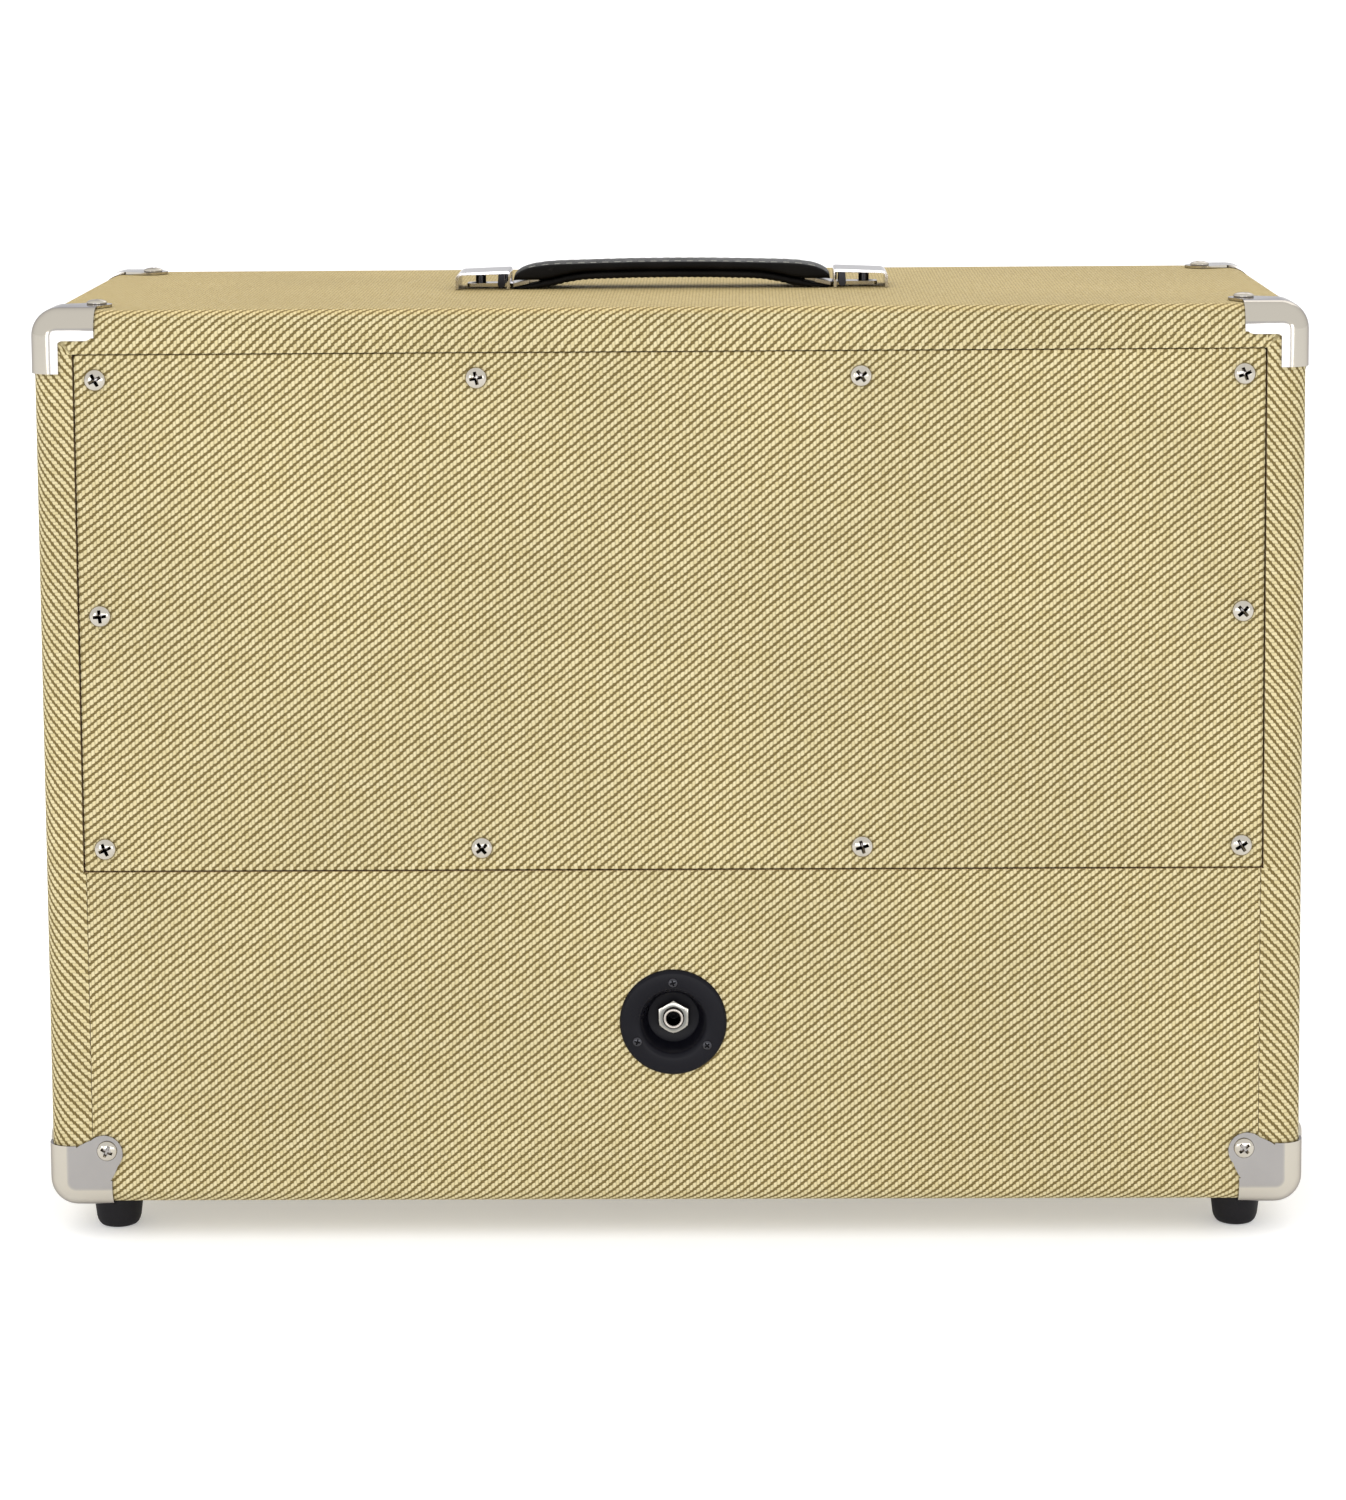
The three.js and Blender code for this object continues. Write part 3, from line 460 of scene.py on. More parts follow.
# ------------ mesh helpers


def piece(name, verts, faces, look, uv=None, sharp=35.0, bevel=0.0, thick=0.0):
    """A mesh object at the origin from millimetre points. uv holds one (along, across) per point."""
    mesh = bpy.data.meshes.new(name)
    mesh.from_pydata([tuple(c / 1000 for c in v) for v in verts], [], faces)
    if uv is not None:
        layer = mesh.uv_layers.new(name=STRIP)
        for loop in mesh.loops:
            a, b = uv[loop.vertex_index]
            layer.data[loop.index].uv = (a / 1000, b / 1000)
    return dressed(name, mesh, look, sharp, bevel, thick)


def dressed(name, mesh, look, sharp=35.0, bevel=0.0, thick=0.0):
    tidy = bmesh.new()
    tidy.from_mesh(mesh)
    bmesh.ops.remove_doubles(tidy, verts=tidy.verts, dist=2e-6)
    bmesh.ops.dissolve_degenerate(tidy, dist=2e-6, edges=tidy.edges)
    bmesh.ops.recalc_face_normals(tidy, faces=tidy.faces)
    tidy.to_mesh(mesh)
    tidy.free()
    mesh.materials.clear()
    mesh.materials.append(look)
    for polygon in mesh.polygons:
        polygon.use_smooth = True
    mesh.set_sharp_from_angle(angle=radians(sharp))
    made = bpy.data.objects.new(name, mesh)
    collection.objects.link(made)
    if thick:
        shell = made.modifiers.new("thickness", "SOLIDIFY")
        shell.thickness, shell.offset = thick / 1000, -1.0
        faces = made.modifiers.new("flat_faces", "WEIGHTED_NORMAL")
        faces.keep_sharp, faces.weight = True, 100
    if bevel:
        edge = made.modifiers.new("edges", "BEVEL")
        edge.width, edge.segments, edge.limit_method = bevel / 1000, 2, "ANGLE"
        edge.angle_limit, edge.harden_normals = radians(40), True
        edge.use_clamp_overlap = True
    return made


def grid(rows, closed=False):
    """Quads between equally long rows of point numbers. closed joins the last column to the first."""
    n, faces = len(rows[0]), []
    for a, b in zip(rows, rows[1:]):
        for i in range(n if closed else n - 1):
            j = (i + 1) % n
            faces.append((a[i], a[j], b[j], b[i]))
    return faces


def turned(profile, sides, axis="z", at=(0, 0, 0)):
    """A ring-shaped or solid turning; profile is [(radius, along)] and may touch the axis."""
    verts, rows = [], []
    for r, along in profile:
        row = []
        for i in range(sides):
            t = 2 * pi * i / sides
            p, q = r * cos(t), r * sin(t)
            point = {"z": (p, q, along), "y": (p, along, -q)}[axis]
            row.append(len(verts))
            verts.append(tuple(c + d for c, d in zip(point, at)))
        rows.append(row)
    return verts, grid(rows, closed=True)


def arc(cx, cy, r, a0, a1, n):
    return [(cx + r * cos(radians(a0 + (a1 - a0) * i / n)),
             cy + r * sin(radians(a0 + (a1 - a0) * i / n))) for i in range(n + 1)]


def circle(radius, sides, cx=0.0, cy=0.0):
    return [(cx + radius * cos(2 * pi * i / sides), cy + radius * sin(2 * pi * i / sides))
            for i in range(sides)]


def rounded(x, low, high, r, steps, shrink=0.0):
    """The four round corners of a rectangle from -x to x and from low to high, one after the other.
    shrink takes something off their radius but leaves their centres."""
    points = []
    for cx, cy, turn in ((x - r, high - r, 0), (-x + r, high - r, 90),
                         (-x + r, low + r, 180), (x - r, low + r, 270)):
        points += arc(cx, cy, r - shrink, turn, turn + 90, steps)
    return points


def filled(loops, start=0):
    """Triangles over an outline with holes, whose points are numbered from start on."""
    found = tessellate_polygon([[Vector((p, q, 0)) for p, q in loop] for loop in loops])
    return [tuple(start + i for i in face) for face in found]


def tube(verts, m):
    """The faces of a tube with closed ends, whose points come ring by ring, m to a ring."""
    rows = [list(range(i, i + m)) for i in range(0, len(verts), m)]
    return grid(rows, closed=True) + [tuple(reversed(rows[0])), tuple(rows[-1])]


def slab(outline, low, high, place, holes=()):
    """A prism between two levels; place(p, q, level) gives the point. Holes go right through."""
    loops = [list(outline), *[list(h) for h in holes]]
    flat = [p for loop in loops for p in loop]
    caps = filled(loops)
    n = len(flat)
    verts = [place(p, q, low) for p, q in flat] + [place(p, q, high) for p, q in flat]
    faces = caps + [tuple(i + n for i in reversed(f)) for f in caps]
    start = 0
    for loop in loops:
        m = len(loop)
        for i in range(m):
            a, b = start + i, start + (i + 1) % m
            faces.append((a, b, b + n, a + n))
        start += m
    return verts, faces


def joined(*parts):
    verts, faces = [], []
    for v, f in parts:
        faces += [tuple(i + len(verts) for i in face) for face in f]
        verts += list(v)
    return verts, faces


def boolean(name, base, cutters, operation="DIFFERENCE"):
    """A new mesh: base with each cutter applied. All are (verts, faces) in millimetres."""
    def raw(label, data):
        mesh = bpy.data.meshes.new(label)
        mesh.from_pydata([tuple(v) for v in data[0]], [], data[1])
        work = bmesh.new()
        work.from_mesh(mesh)
        bmesh.ops.remove_doubles(work, verts=work.verts, dist=1e-4)
        bmesh.ops.recalc_face_normals(work, faces=work.faces)
        work.to_mesh(mesh)
        work.free()
        made = bpy.data.objects.new(label, mesh)
        collection.objects.link(made)
        return made
    whole = raw(name + "_base", base)
    tools = []
    for i, cutter in enumerate(cutters):
        kind, data = cutter if isinstance(cutter[0], str) else (operation, cutter)
        tool = raw(f"{name}_tool_{i}", data)
        step = whole.modifiers.new(f"step_{i}", "BOOLEAN")
        step.object, step.operation, step.solver = tool, kind, "EXACT"
        tools.append(tool)
    graph = bpy.context.evaluated_depsgraph_get()
    mesh = bpy.data.meshes.new_from_object(whole.evaluated_get(graph))
    result = ([tuple(v.co) for v in mesh.vertices], [tuple(p.vertices) for p in mesh.polygons])
    for made in [whole, *tools]:
        old = made.data
        bpy.data.objects.remove(made)
        bpy.data.meshes.remove(old)
    bpy.data.meshes.remove(mesh)
    return result


def moved(data, change):
    return [change(*v) for v in data[0]], data[1]


def settle(made, body, slot, *nodes):
    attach(made, body)
    if nodes:
        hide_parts(*nodes)
    return made


def fixed(name, data, look, slot, *nodes, **shape):
    """A piece that rides on the cabinet and stands for the given nodes, if any."""
    settle(piece(name, *data, look, **shape), "cabinet", slot, *nodes)


# ------------ tweed covering

ROUND_STEPS = 8
CLOTH = 1.0
LIP_CLOTH, FRONT_FOLD = 1.3, 1.6  # cloth over the lip of the front opening, and its fold


def stations():
    """Round the box, clockwise seen from behind, from the lower side seam back to the other.
    Each is (anchor x, anchor z, outward x, outward z, distance along)."""
    x, low, high = SIDE - CORNER_R, BOTTOM + CORNER_R, TOP - CORNER_R
    corner = lambda cx, cz, a0, a1: [
        (cx, cz, cos(radians(a)), sin(radians(a)))
        for a in np.linspace(a0, a1, ROUND_STEPS + 1)]
    edge = [low + 8.2, SEAM_Z - 0.05, SEAM_Z + 0.05, WINDOW_TOP]
    run = [(LOWER_X + 0.3, low, 0, -1)]
    run += corner(x, low, -90, 0)
    run += [(x, z, 1, 0) for z in edge]
    run += corner(x, high, 0, 90)
    run += [(s, high, 0, 1) for s in (INSIDE_X, -INSIDE_X)]
    run += corner(-x, high, 90, 180)
    run += [(-x, z, -1, 0) for z in reversed(edge)]
    run += corner(-x, low, 180, 270)
    run += [(-LOWER_X - 0.3, low, 0, -1)]
    out, gone, last = [], 0.0, None
    for ax, az, nx, nz in run:
        here = (ax + nx * CORNER_R, az + nz * CORNER_R)
        if last is not None:
            gone += dist(here, last)
        last = here
        out.append((ax, az, nx, nz, gone))
    return out


def clamp(value, low, high):
    return max(low, min(high, value))


def wrap():
    ring = stations()
    flat = CORNER_R - EDGE_R
    inner_x, low, high = INSIDE_X - LIP_CLOTH, INSIDE_LOW + LIP_CLOTH, INSIDE_HIGH - LIP_CLOTH

    def back_inner(ax, az, nx, nz):
        side = 1 if ax > 0 else -1
        if nx == 0 and nz > 0:
            return clamp(ax, -INSIDE_X, INSIDE_X), WINDOW_TOP
        if nz > 0 or (nz == 0 and az > SEAM_Z):
            return side * INSIDE_X, min(az, WINDOW_TOP)
        return side * (LOWER_X + 0.3), az + nz * flat if nz else az

    def front_inner(ax, az, nx, nz):
        side = 1 if ax > 0 else -1
        if nx == 0 and nz > 0:
            return clamp(ax, -inner_x, inner_x), high
        return side * inner_x, (low if nz < 0 else clamp(az, low, high))

    rows = []  # each: (function of a station giving the point, distance across)
    def at_radius(radius, y):
        return lambda ax, az, nx, nz: (ax + nx * radius, y, az + nz * radius)
    rows.append((lambda *s: (back_inner(*s)[0], BACK, back_inner(*s)[1]), -9.6))
    for i in range(ROUND_STEPS + 1):
        a = pi / 2 * i / ROUND_STEPS
        rows.append((at_radius(flat + EDGE_R * sin(a), BACK - EDGE_R * (1 - cos(a))), EDGE_R * a))
    across = EDGE_R * pi / 2 + 2 * (BACK - EDGE_R)
    for i in range(ROUND_STEPS + 1):
        a = pi / 2 * i / ROUND_STEPS
        y = -BACK + EDGE_R * (1 - sin(a))
        rows.append((at_radius(flat + EDGE_R * cos(a), y), across + EDGE_R * a))
    across += EDGE_R * pi / 2
    fold, band = FRONT_FOLD, 10.7  # the band is the flat rim round the front opening
    for i in range(5):
        a = pi / 2 * i / 4
        out, deep = fold * (1 - sin(a)), fold * (1 - cos(a))
        def turn_in(ax, az, nx, nz, out=out, deep=deep):
            px, pz = front_inner(ax, az, nx, nz)
            ox = (1 if px > 0 else -1) if abs(px) >= inner_x - 1e-6 else 0
            oz = 1 if pz >= high - 1e-6 else -1 if pz <= low + 1e-6 else 0
            return px + ox * out, -BACK + deep, pz + oz * out
        rows.append((turn_in, across + band - fold + fold * a))
    rows.append((lambda *s: (front_inner(*s)[0], LIP_END, front_inner(*s)[1]), across + band + 15))
    verts, uv, index = [], [], []
    for point, v in rows:
        line = []
        for *s, gone in ring:
            line.append(len(verts))
            verts.append(point(*s))
            uv.append((gone, v))
        index.append(line)
    made = piece("tweed_wrap_cloth", verts, grid(index), TWEED, uv, sharp=60, thick=CLOTH)
    return settle(made, "cabinet", "tweed", "tweed_wrap")


def lower_strip():
    """One strip from the front opening, under the box and up to the access panel."""
    profile = [(LIP_END, INSIDE_LOW + LIP_CLOTH, 0.0)]
    def add(points):
        for y, z in points:
            py, pz, gone = profile[-1]
            profile.append((y, z, gone + dist((y, z), (py, pz))))
    z0, fold = INSIDE_LOW + LIP_CLOTH, FRONT_FOLD
    add([(-BACK + fold, z0)] + arc(-BACK + fold, z0 - fold, fold, 90, 180, 4)[1:])
    add([(-BACK, BOTTOM + EDGE_R)] + arc(-BACK + EDGE_R, BOTTOM + EDGE_R, EDGE_R, 180, 270, ROUND_STEPS)[1:])
    add([(BACK - EDGE_R, BOTTOM)] + arc(BACK - EDGE_R, BOTTOM + EDGE_R, EDGE_R, 270, 360, ROUND_STEPS)[1:])
    xs = [LOWER_X, 60, -60, -LOWER_X]
    hem = 0.9  # radius of the turned top edge
    verts, uv, rows = [], [], []
    u_start, v_start = 7.3, 301.7  # where this strip was cut from the roll
    top_v = SEAM_Z - (BOTTOM + EDGE_R)
    for y, z, gone in profile:
        v = gone - profile[-1][2] - top_v
        rows.append(list(range(len(verts), len(verts) + len(xs))))
        for x in xs:
            verts.append((x, y, z))
            uv.append((u_start - x, v + v_start))
    faces = grid(rows)
    low = BOTTOM + EDGE_R
    outer = [(x, low) for x in xs] + [(-LOWER_X, SEAM_Z - hem), (LOWER_X, SEAM_Z - hem)]
    hole = circle(JACK_HOLE, 40, 0.0, JACK_Z)
    start = len(verts)
    for x, z in outer + hole:
        verts.append((x, BACK, z))
        uv.append((u_start - x, z - SEAM_Z + v_start))
    faces += filled((outer, hole), start)
    edge = []  # the top edge is turned over the panel
    for y, z in arc(BACK - hem, SEAM_Z - hem, hem, 0, 90, 3):
        edge.append([len(verts), len(verts) + 1])
        for x in (LOWER_X, -LOWER_X):
            verts.append((x, y, z))
            uv.append((u_start - x, z - SEAM_Z + v_start))
    faces += grid(edge)
    made = piece("tweed_lower_cloth", verts, faces, TWEED, uv, sharp=60, thick=CLOTH)
    return settle(made, "cabinet", "tweed", "tweed_lower_back")


SCREWS = [(x, 419.0) for x in (-271.8, -91.0, 91.0, 271.8)] + [(x, 305.9) for x in (-271.8, 271.8)] + \
         [(x, 192.9) for x in (-271.8, -91.0, 91.0, 271.8)]


def access_cloth():
    """The panel's cloth, folded softly over its four edges and punched for the screws."""
    fold, rear = 1.3, BACK - 13.2
    def ring(inset, radius):
        return rounded(PANEL_X - inset, PANEL_LOW + inset, PANEL_HIGH - inset, radius, 4)
    verts, uv, rows = [], [], []
    levels = [(fold * (1 - cos(a)), BACK - fold * (1 - sin(a)))
              for a in np.linspace(pi / 2, 0, 5)]
    outline = ring(levels[0][0], 0.5)
    for inset, y in levels + [(0.0, rear)]:
        line = []
        deep = BACK - y
        for (x, z), (fx, fz) in zip(ring(inset, 0.5 + (fold - inset) * 0.6), outline):
            line.append(len(verts))
            verts.append((x, y, z))
            ox = np.sign(fx) if abs(fx) > PANEL_X - 4 else 0
            oz = 1 if fz > PANEL_HIGH - 4 else -1 if fz < PANEL_LOW + 4 else 0
            uv.append((-fx - ox * deep, fz + oz * deep))
        rows.append(line)
    faces = grid(rows, closed=True)
    holes = [circle(2.3, 12, x, z) for x, z in SCREWS]
    start = len(verts)
    for x, z in outline + [p for h in holes for p in h]:
        verts.append((x, BACK, z))
        uv.append((-x, z))
    faces += filled([outline, *holes], start)
    made = piece("tweed_access_cloth", verts, faces, TWEED, uv, sharp=60, thick=CLOTH)
    return settle(made, "cabinet", "tweed", "tweed_access_panel")


def grille():
    """The front cloth, stretched over its frame with soft edges."""
    x, low, high, face, rear = 280.5, 38.5, 430.5, -122.0, -113.7
    soft = 2.2
    verts, rows = [], []
    for inset, y in [(0, rear)] + [(soft * (1 - cos(a)), face + soft * (1 - sin(a)))
                                   for a in np.linspace(0, pi / 2, 6)]:
        ring = rounded(x - inset, low + inset, high - inset, 2.5 - inset * 0.6, 5)
        rows.append(list(range(len(verts), len(verts) + len(ring))))
        verts += [(p, y, q) for p, q in ring]
    faces = grid(rows, closed=True) + [tuple(rows[-1])]
    made = piece("grille_cloth_sheet", verts, faces, GRILLE, sharp=60, thick=0.8)
    return settle(made, "cabinet", "grille_cloth", "grille_cloth")


# ------------ screws


def cross_cutter(reach, width, level, deep):
    """Two tapering bars that cut a cross recess from level down to deep."""
    def bar(swap):
        w, r = width / 2, reach
        top = [(-r, -w), (r, -w), (r, w), (-r, w)]
        low = [(-r * 0.22, -w * 0.18), (r * 0.22, -w * 0.18), (r * 0.22, w * 0.18), (-r * 0.22, w * 0.18)]
        pts = [(p, q, level) for p, q in top] + [(p, q, deep) for p, q in low]
        if swap:
            pts = [(q, p, z) for p, q, z in pts]
        return pts, [(0, 1, 2, 3), (7, 6, 5, 4), (0, 4, 5, 1), (1, 5, 6, 2), (2, 6, 7, 3), (3, 7, 4, 0)]
    return bar(False), bar(True)


def pan_head(radius, height, shank=2.0, length=5.0):
    """A pan-head screw along +z from its seat at 0, with a cross recess."""
    dome = [(max(1e-4, radius * cos(a)), height * (0.28 + 0.72 * sin(a)))
            for a in np.linspace(0, pi / 2, 8)]
    depth = max(length, height * 1.2)
    profile = [(1e-4, -depth), (shank * 0.7, -depth + 1), (shank, -depth + min(3, depth / 2)), (shank, 0.0),
               (radius * 0.97, 0.0)]
    head = turned(profile + dome, 28)
    cross = cross_cutter(radius * 0.72, radius * 0.36, height * 1.3, -height * 0.9)
    return boolean("screw_head", head, cross)


def facing(axis, sign, spin, place):
    """Turns a screw that points along +z to point along sign*axis, spun about itself."""
    c, s = cos(spin), sin(spin)
    def change(x, y, z):
        p, q = x * c - y * s, x * s + y * c
        point = {"x": (sign * z, p, q * sign), "y": (-p * sign, sign * z, q),
                 "z": (p, q * sign, sign * z)}[axis]
        return tuple(a + b for a, b in zip(point, place))
    return change


def access_screws():
    head = pan_head(5.25, 2.9, length=22)
    names = ["upper_1", "upper_2", "upper_3", "upper_4", "middle_5", "middle_6",
             "lower_7", "lower_8", "lower_9", "lower_10"]
    for n, ((x, z), label) in enumerate(zip(SCREWS, names)):
        spin = (0.35, 0.62, 0.20, 0.48, 0.75, 0.10, 0.55, 0.28, 0.68, 0.42)[n]
        body = moved(head, facing("y", 1, spin, (x, BACK + 0.05, z)))
        fixed("screw_" + label, body, NICKEL, "nickel_plate", "access_screw_" + label, sharp=38)


# ------------ corner protectors


def envelope(inset, steps=10):
    """The rounded box, shrunk by inset, as (verts, faces)."""
    w, r, edge = SIDE - inset, CORNER_R - inset, EDGE_R - inset
    low, high = BOTTOM + inset, TOP - inset
    verts = []
    def ring(slope, y):
        verts.extend((p, y, q) for p, q in rounded(w, low, high, r, steps, edge * (1 - sin(slope))))
    depth = BACK - inset
    for a in np.linspace(0, pi / 2, steps + 1):
        ring(a, -depth + edge * (1 - cos(a)))
    for a in np.linspace(pi / 2, 0, steps + 1):
        ring(a, depth - edge * (1 - cos(a)))
    return verts, tube(verts, 4 * (steps + 1))


PLATE_IN, PLATE_OUT = 0.3, 1.5  # the protector's faces, outside the bare box
EAR_SCREW = 27.4
REACH = 29.6
ARM = [(REACH, -5), (REACH, 7.2), (29.2, 8.7), (28.4, 9.8), (27.85, 10.5), (27.9, 11.2), (30.1, 14.4),
       (31.6, 17.4)]
EAR = [(-5, -5)] + ARM + arc(25.9, 25.9, 9.0, -42, 132, 24) + [(q, p) for p, q in reversed(ARM)]
ELL = [(-5, -5), (REACH, -5), (REACH, 9.3)] + arc(REACH - 4.5, 9.3, 4.5, 0, 90, 8)[1:] + \
      [(14.8, 13.8)] + arc(14.8, 16.8, 3, -90, -180, 6)[1:] + [(11.8, REACH - 4.5)] + \
      arc(7.3, REACH - 4.5, 4.5, 0, 90, 8)[1:] + [(-5, REACH)]


def protector(plain):
    """The protector of the corner at +x, +y, +z, with its plain face on that axis."""
    corner = (SIDE, BACK, TOP)
    plates = []
    for axis in "xyz":
        outline = ELL if axis == plain else EAR
        def place(p, q, level, axis=axis):
            out = {"x": (level, -p, -q), "y": (-p, level, -q), "z": (-p, -q, level)}[axis]
            return tuple(a + b for a, b in zip(out, corner))
        plates.append(slab(outline, -12.5, 5, place))
    region = boolean("region", plates[0], [("UNION", plates[1]), ("UNION", plates[2])])
    outer, inner = envelope(-PLATE_OUT), envelope(-PLATE_IN)
    return boolean("shell", region, [("INTERSECT", outer), ("DIFFERENCE", inner)])


def corner_protectors():
    shapes = {"y": protector("y"), "z": protector("z")}
    screw = pan_head(4.9, 2.2, length=1.2)
    bare = {"x": SIDE, "y": BACK, "z": TOP}
    turn = 0
    for side, sx in SIDES:
        for end, sy in (("front", -1), ("back", 1)):
            for level, sz in (("bottom", -1), ("top", 1)):
                plain = "z" if end == "back" and level == "bottom" else "y"
                middle = (TOP + BOTTOM) / 2
                def mirror(x, y, z):
                    return sx * x, sy * y, middle + sz * (z - middle)
                label = f"{level}_{end}_{side}"
                fixed("protector_" + label, moved(shapes[plain], mirror), NICKEL, "nickel_plate",
                      "corner_" + label, sharp=38, bevel=0.45)
                for axis in "xyz":
                    if axis == plain:
                        continue
                    centre = [bare[a] + PLATE_OUT if a == axis else bare[a] - EAR_SCREW for a in "xyz"]
                    sign = {"x": sx, "y": sy, "z": sz}[axis]
                    turn += 1
                    spin = (turn * 0.61803) % 1.5
                    body = moved(screw, facing(axis, sign, spin, mirror(*centre)))
                    fixed(f"protector_screw_{label}_{axis}", body, NICKEL, "nickel_plate", sharp=38)


# ------------ feet


FOOT_X, FOOT_Y = 273.3, {"front": -78.0, "back": 100.0}


def feet():
    profile = [(1e-4, 17.2), (11.6, 17.2), (12.3, 16.6), (12.2, 15.2), (10.9, 4.6), (10.5, 3.1), (9.8, 1.6),
               (8.8, 0.5), (7.6, 0.02), (5.0, 0.02), (4.4, 0.5), (4.2, 1.4), (4.2, 9.0), (1e-4, 9.0)]
    washer = [(1e-4, 8.9), (3.9, 8.9), (3.9, 8.2), (3.4, 8.0), (1e-4, 8.0)]
    head = pan_head(2.7, 1.6, length=0.4, shank=1.2)
    for end, y in FOOT_Y.items():
        for side, sx in SIDES:
            at = (sx * FOOT_X, y, 0)
            label = f"{end}_{side}"
            body = turned(profile, 40, "z", at)
            fixed("rubber_foot_" + label, body, RUBBER, "rubber", "foot_" + label, sharp=50)
            fixed("foot_washer_" + label, turned(washer, 24, "z", at), ZINC, "steel", bevel=0.1)
            body = moved(head, facing("z", -1, 0.4, (at[0], at[1], 8.0)))
            fixed("foot_screw_" + label, body, ZINC, "steel")


# ------------ strap handle

CAP_IN, CAP_LEN, CAP_H, CAP_HALF = 80.6, 27.0, 9.5, 15.5


def along(table, x):
    xs, zs = zip(*table)
    return float(np.interp(x, xs, zs))


# heights of the strap's underside and of its top above the box, at distances from the middle
UNDER = [(0, 5.6), (20, 5.45), (40, 4.95), (46, 4.45), (53, 3.25), (60, 1.55), (66, 0.75), (80, 0.65)]
CROWN = [(0, 14.15), (20, 14.05), (40, 13.6), (56, 13.2), (63, 12.75), (68, 12.0), (71.5, 11.1), (74, 10.0),
         (75.9, 8.7), (76.9, 7.4), (77.35, 6.2), (77.45, 5.4)]


def reach(x):
    """Draws the last stretch of the strap out to its cap."""
    return x if x < 62 else 62 + (x - 62) * 1.09


def layer(name, side, bottom, top, half, xs, edge):
    """One leather layer from the middle out to one end, as rounded sections along x."""
    verts, steps = [], 5
    crown, sunk = 0.75, 0.6  # the top is slightly crowned across
    for x in xs:
        low, high = bottom(x), top(x)
        r = min(edge, (high - low) / 2 - 0.02)
        w = half - (0.0 if x < 70 else 1.6 * ((x - 70) / 7.5) ** 2)
        out, start = side * reach(x), len(verts)
        for i, (p, q) in enumerate(rounded(w, low, high, r, steps)):
            if i < 2 * (steps + 1):
                q += crown * (1 - min(1, abs(p) / (w - r + 1e-6)) ** 2) - sunk
            verts.append((out, p, TOP + q))
            if i == steps:
                verts += [(out, t, TOP + high + crown * (1 - (abs(t) / (w - r)) ** 2) - sunk)
                          for t in np.linspace(w - r, -w + r, 9)[1:-1]]
    return piece(name, verts, tube(verts, len(verts) - start), LEATHER, sharp=55)


def blended(made):
    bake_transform(made)


def capsule(a, b, radius, sides=8):
    """A short thread between two points with round ends."""
    a, b = Vector(a), Vector(b)
    axis = (b - a).normalized()
    side = axis.cross(Vector((0, 0, 1))).normalized()
    up = side.cross(axis)
    verts = []
    for centre, shift, r in ((a, -0.9, 0.25), (a, -0.5, 0.8), (a, 0.1, 1.0),
                             (b, -0.1, 1.0), (b, 0.5, 0.8), (b, 0.9, 0.25)):
        verts += [tuple(centre + axis * shift * radius + (side * p + up * q) * r * radius)
                  for p, q in circle(1, sides)]
    return verts, tube(verts, sides)


def strap():
    under = lambda x: along(UNDER, x) + (0.18 * sin(x * 2 * pi / 3.1) if 1 < x < 62 else 0)
    lower_top = lambda x: along(UNDER, x) + 3.75 - 3.3 * max(0.0, (x - 63) / 14.4)
    upper_low = lambda x: along(UNDER, x) + 4.0 - max(0.0, (x - 73) / 4.4) ** 2 * 0.2
    crown = lambda x: along(CROWN, x)
    fine = [float(x) for x in np.arange(0, 62, 0.775)] + [*range(62, 76), 76.4, 76.9, 77.2]
    coarse = [*range(0, 61, 5), 63, 66, 68, 70, 71.5, 72.7, 74, 75, 75.8, 76.4, 76.9, 77.2, 77.4]
    for label, side in SIDES:
        low = layer("strap_lower_" + label, side, under, lower_top, 13.6, fine, 1.5)
        blended(low)
        high = layer("strap_upper_" + label, side, upper_low, crown, 14.0, coarse, 1.9)
        blended(high)
        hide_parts("strap_end_" + label, *(("strap_grip",) if side > 0 else ()))
        stitches = []
        for x in np.arange(3.0, 71.0, 6.0):
            for y in (-11.3, 11.3):
                ends = [(side * reach(t), y, TOP + crown(t) - 0.57) for t in (x - 1.35, x + 1.35)]
                stitches.append(capsule(*ends, 0.27))
        thread = piece("strap_stitching_" + label, *joined(*stitches), THREAD, sharp=70)
        blended(thread)
        # the steel tongue of the core, slanting out of the leather and down into the cap
        ramp = []
        for x, half, level in ((66.4, 6.0, 4.7), (71.2, 6.0, 3.75), (71.25, 11.4, 3.74), (78.9, 11.4, 2.1),
                               (79.4, 10.9, 2.0), (80.4, 8.0, 1.75), (81.4, 7.4, 1.75)):
            ramp += [(side * x, q, TOP + level + e) for q, e in
                     ((-half, -0.95), (half, -0.95), (half, 0.95), (-half, 0.95))]
        outline = [(80.9, -7.2), (84.0, -5.6)] + arc(100.4, -3.6, 2, -90, 0, 5) + \
            arc(100.4, 3.6, 2, 0, 90, 5) + [(84.0, 5.6), (80.9, 7.2)]
        slot = arc(97.6, 0, 3.1, 90, -90, 8) + arc(95.6, 0, 3.1, 270, 90, 8)
        plate = slab(outline, 0.8, 2.7, lambda p, q, level, side=side: (side * p, q, TOP + level), [slot])
        whole = boolean("tongue", (ramp, tube(ramp, 4)), [("UNION", plate)])
        tongue = piece("strap_tongue_" + label, *whole, NICKEL, bevel=0.25)
        settle(tongue, "handle_end_" + label, "steel")


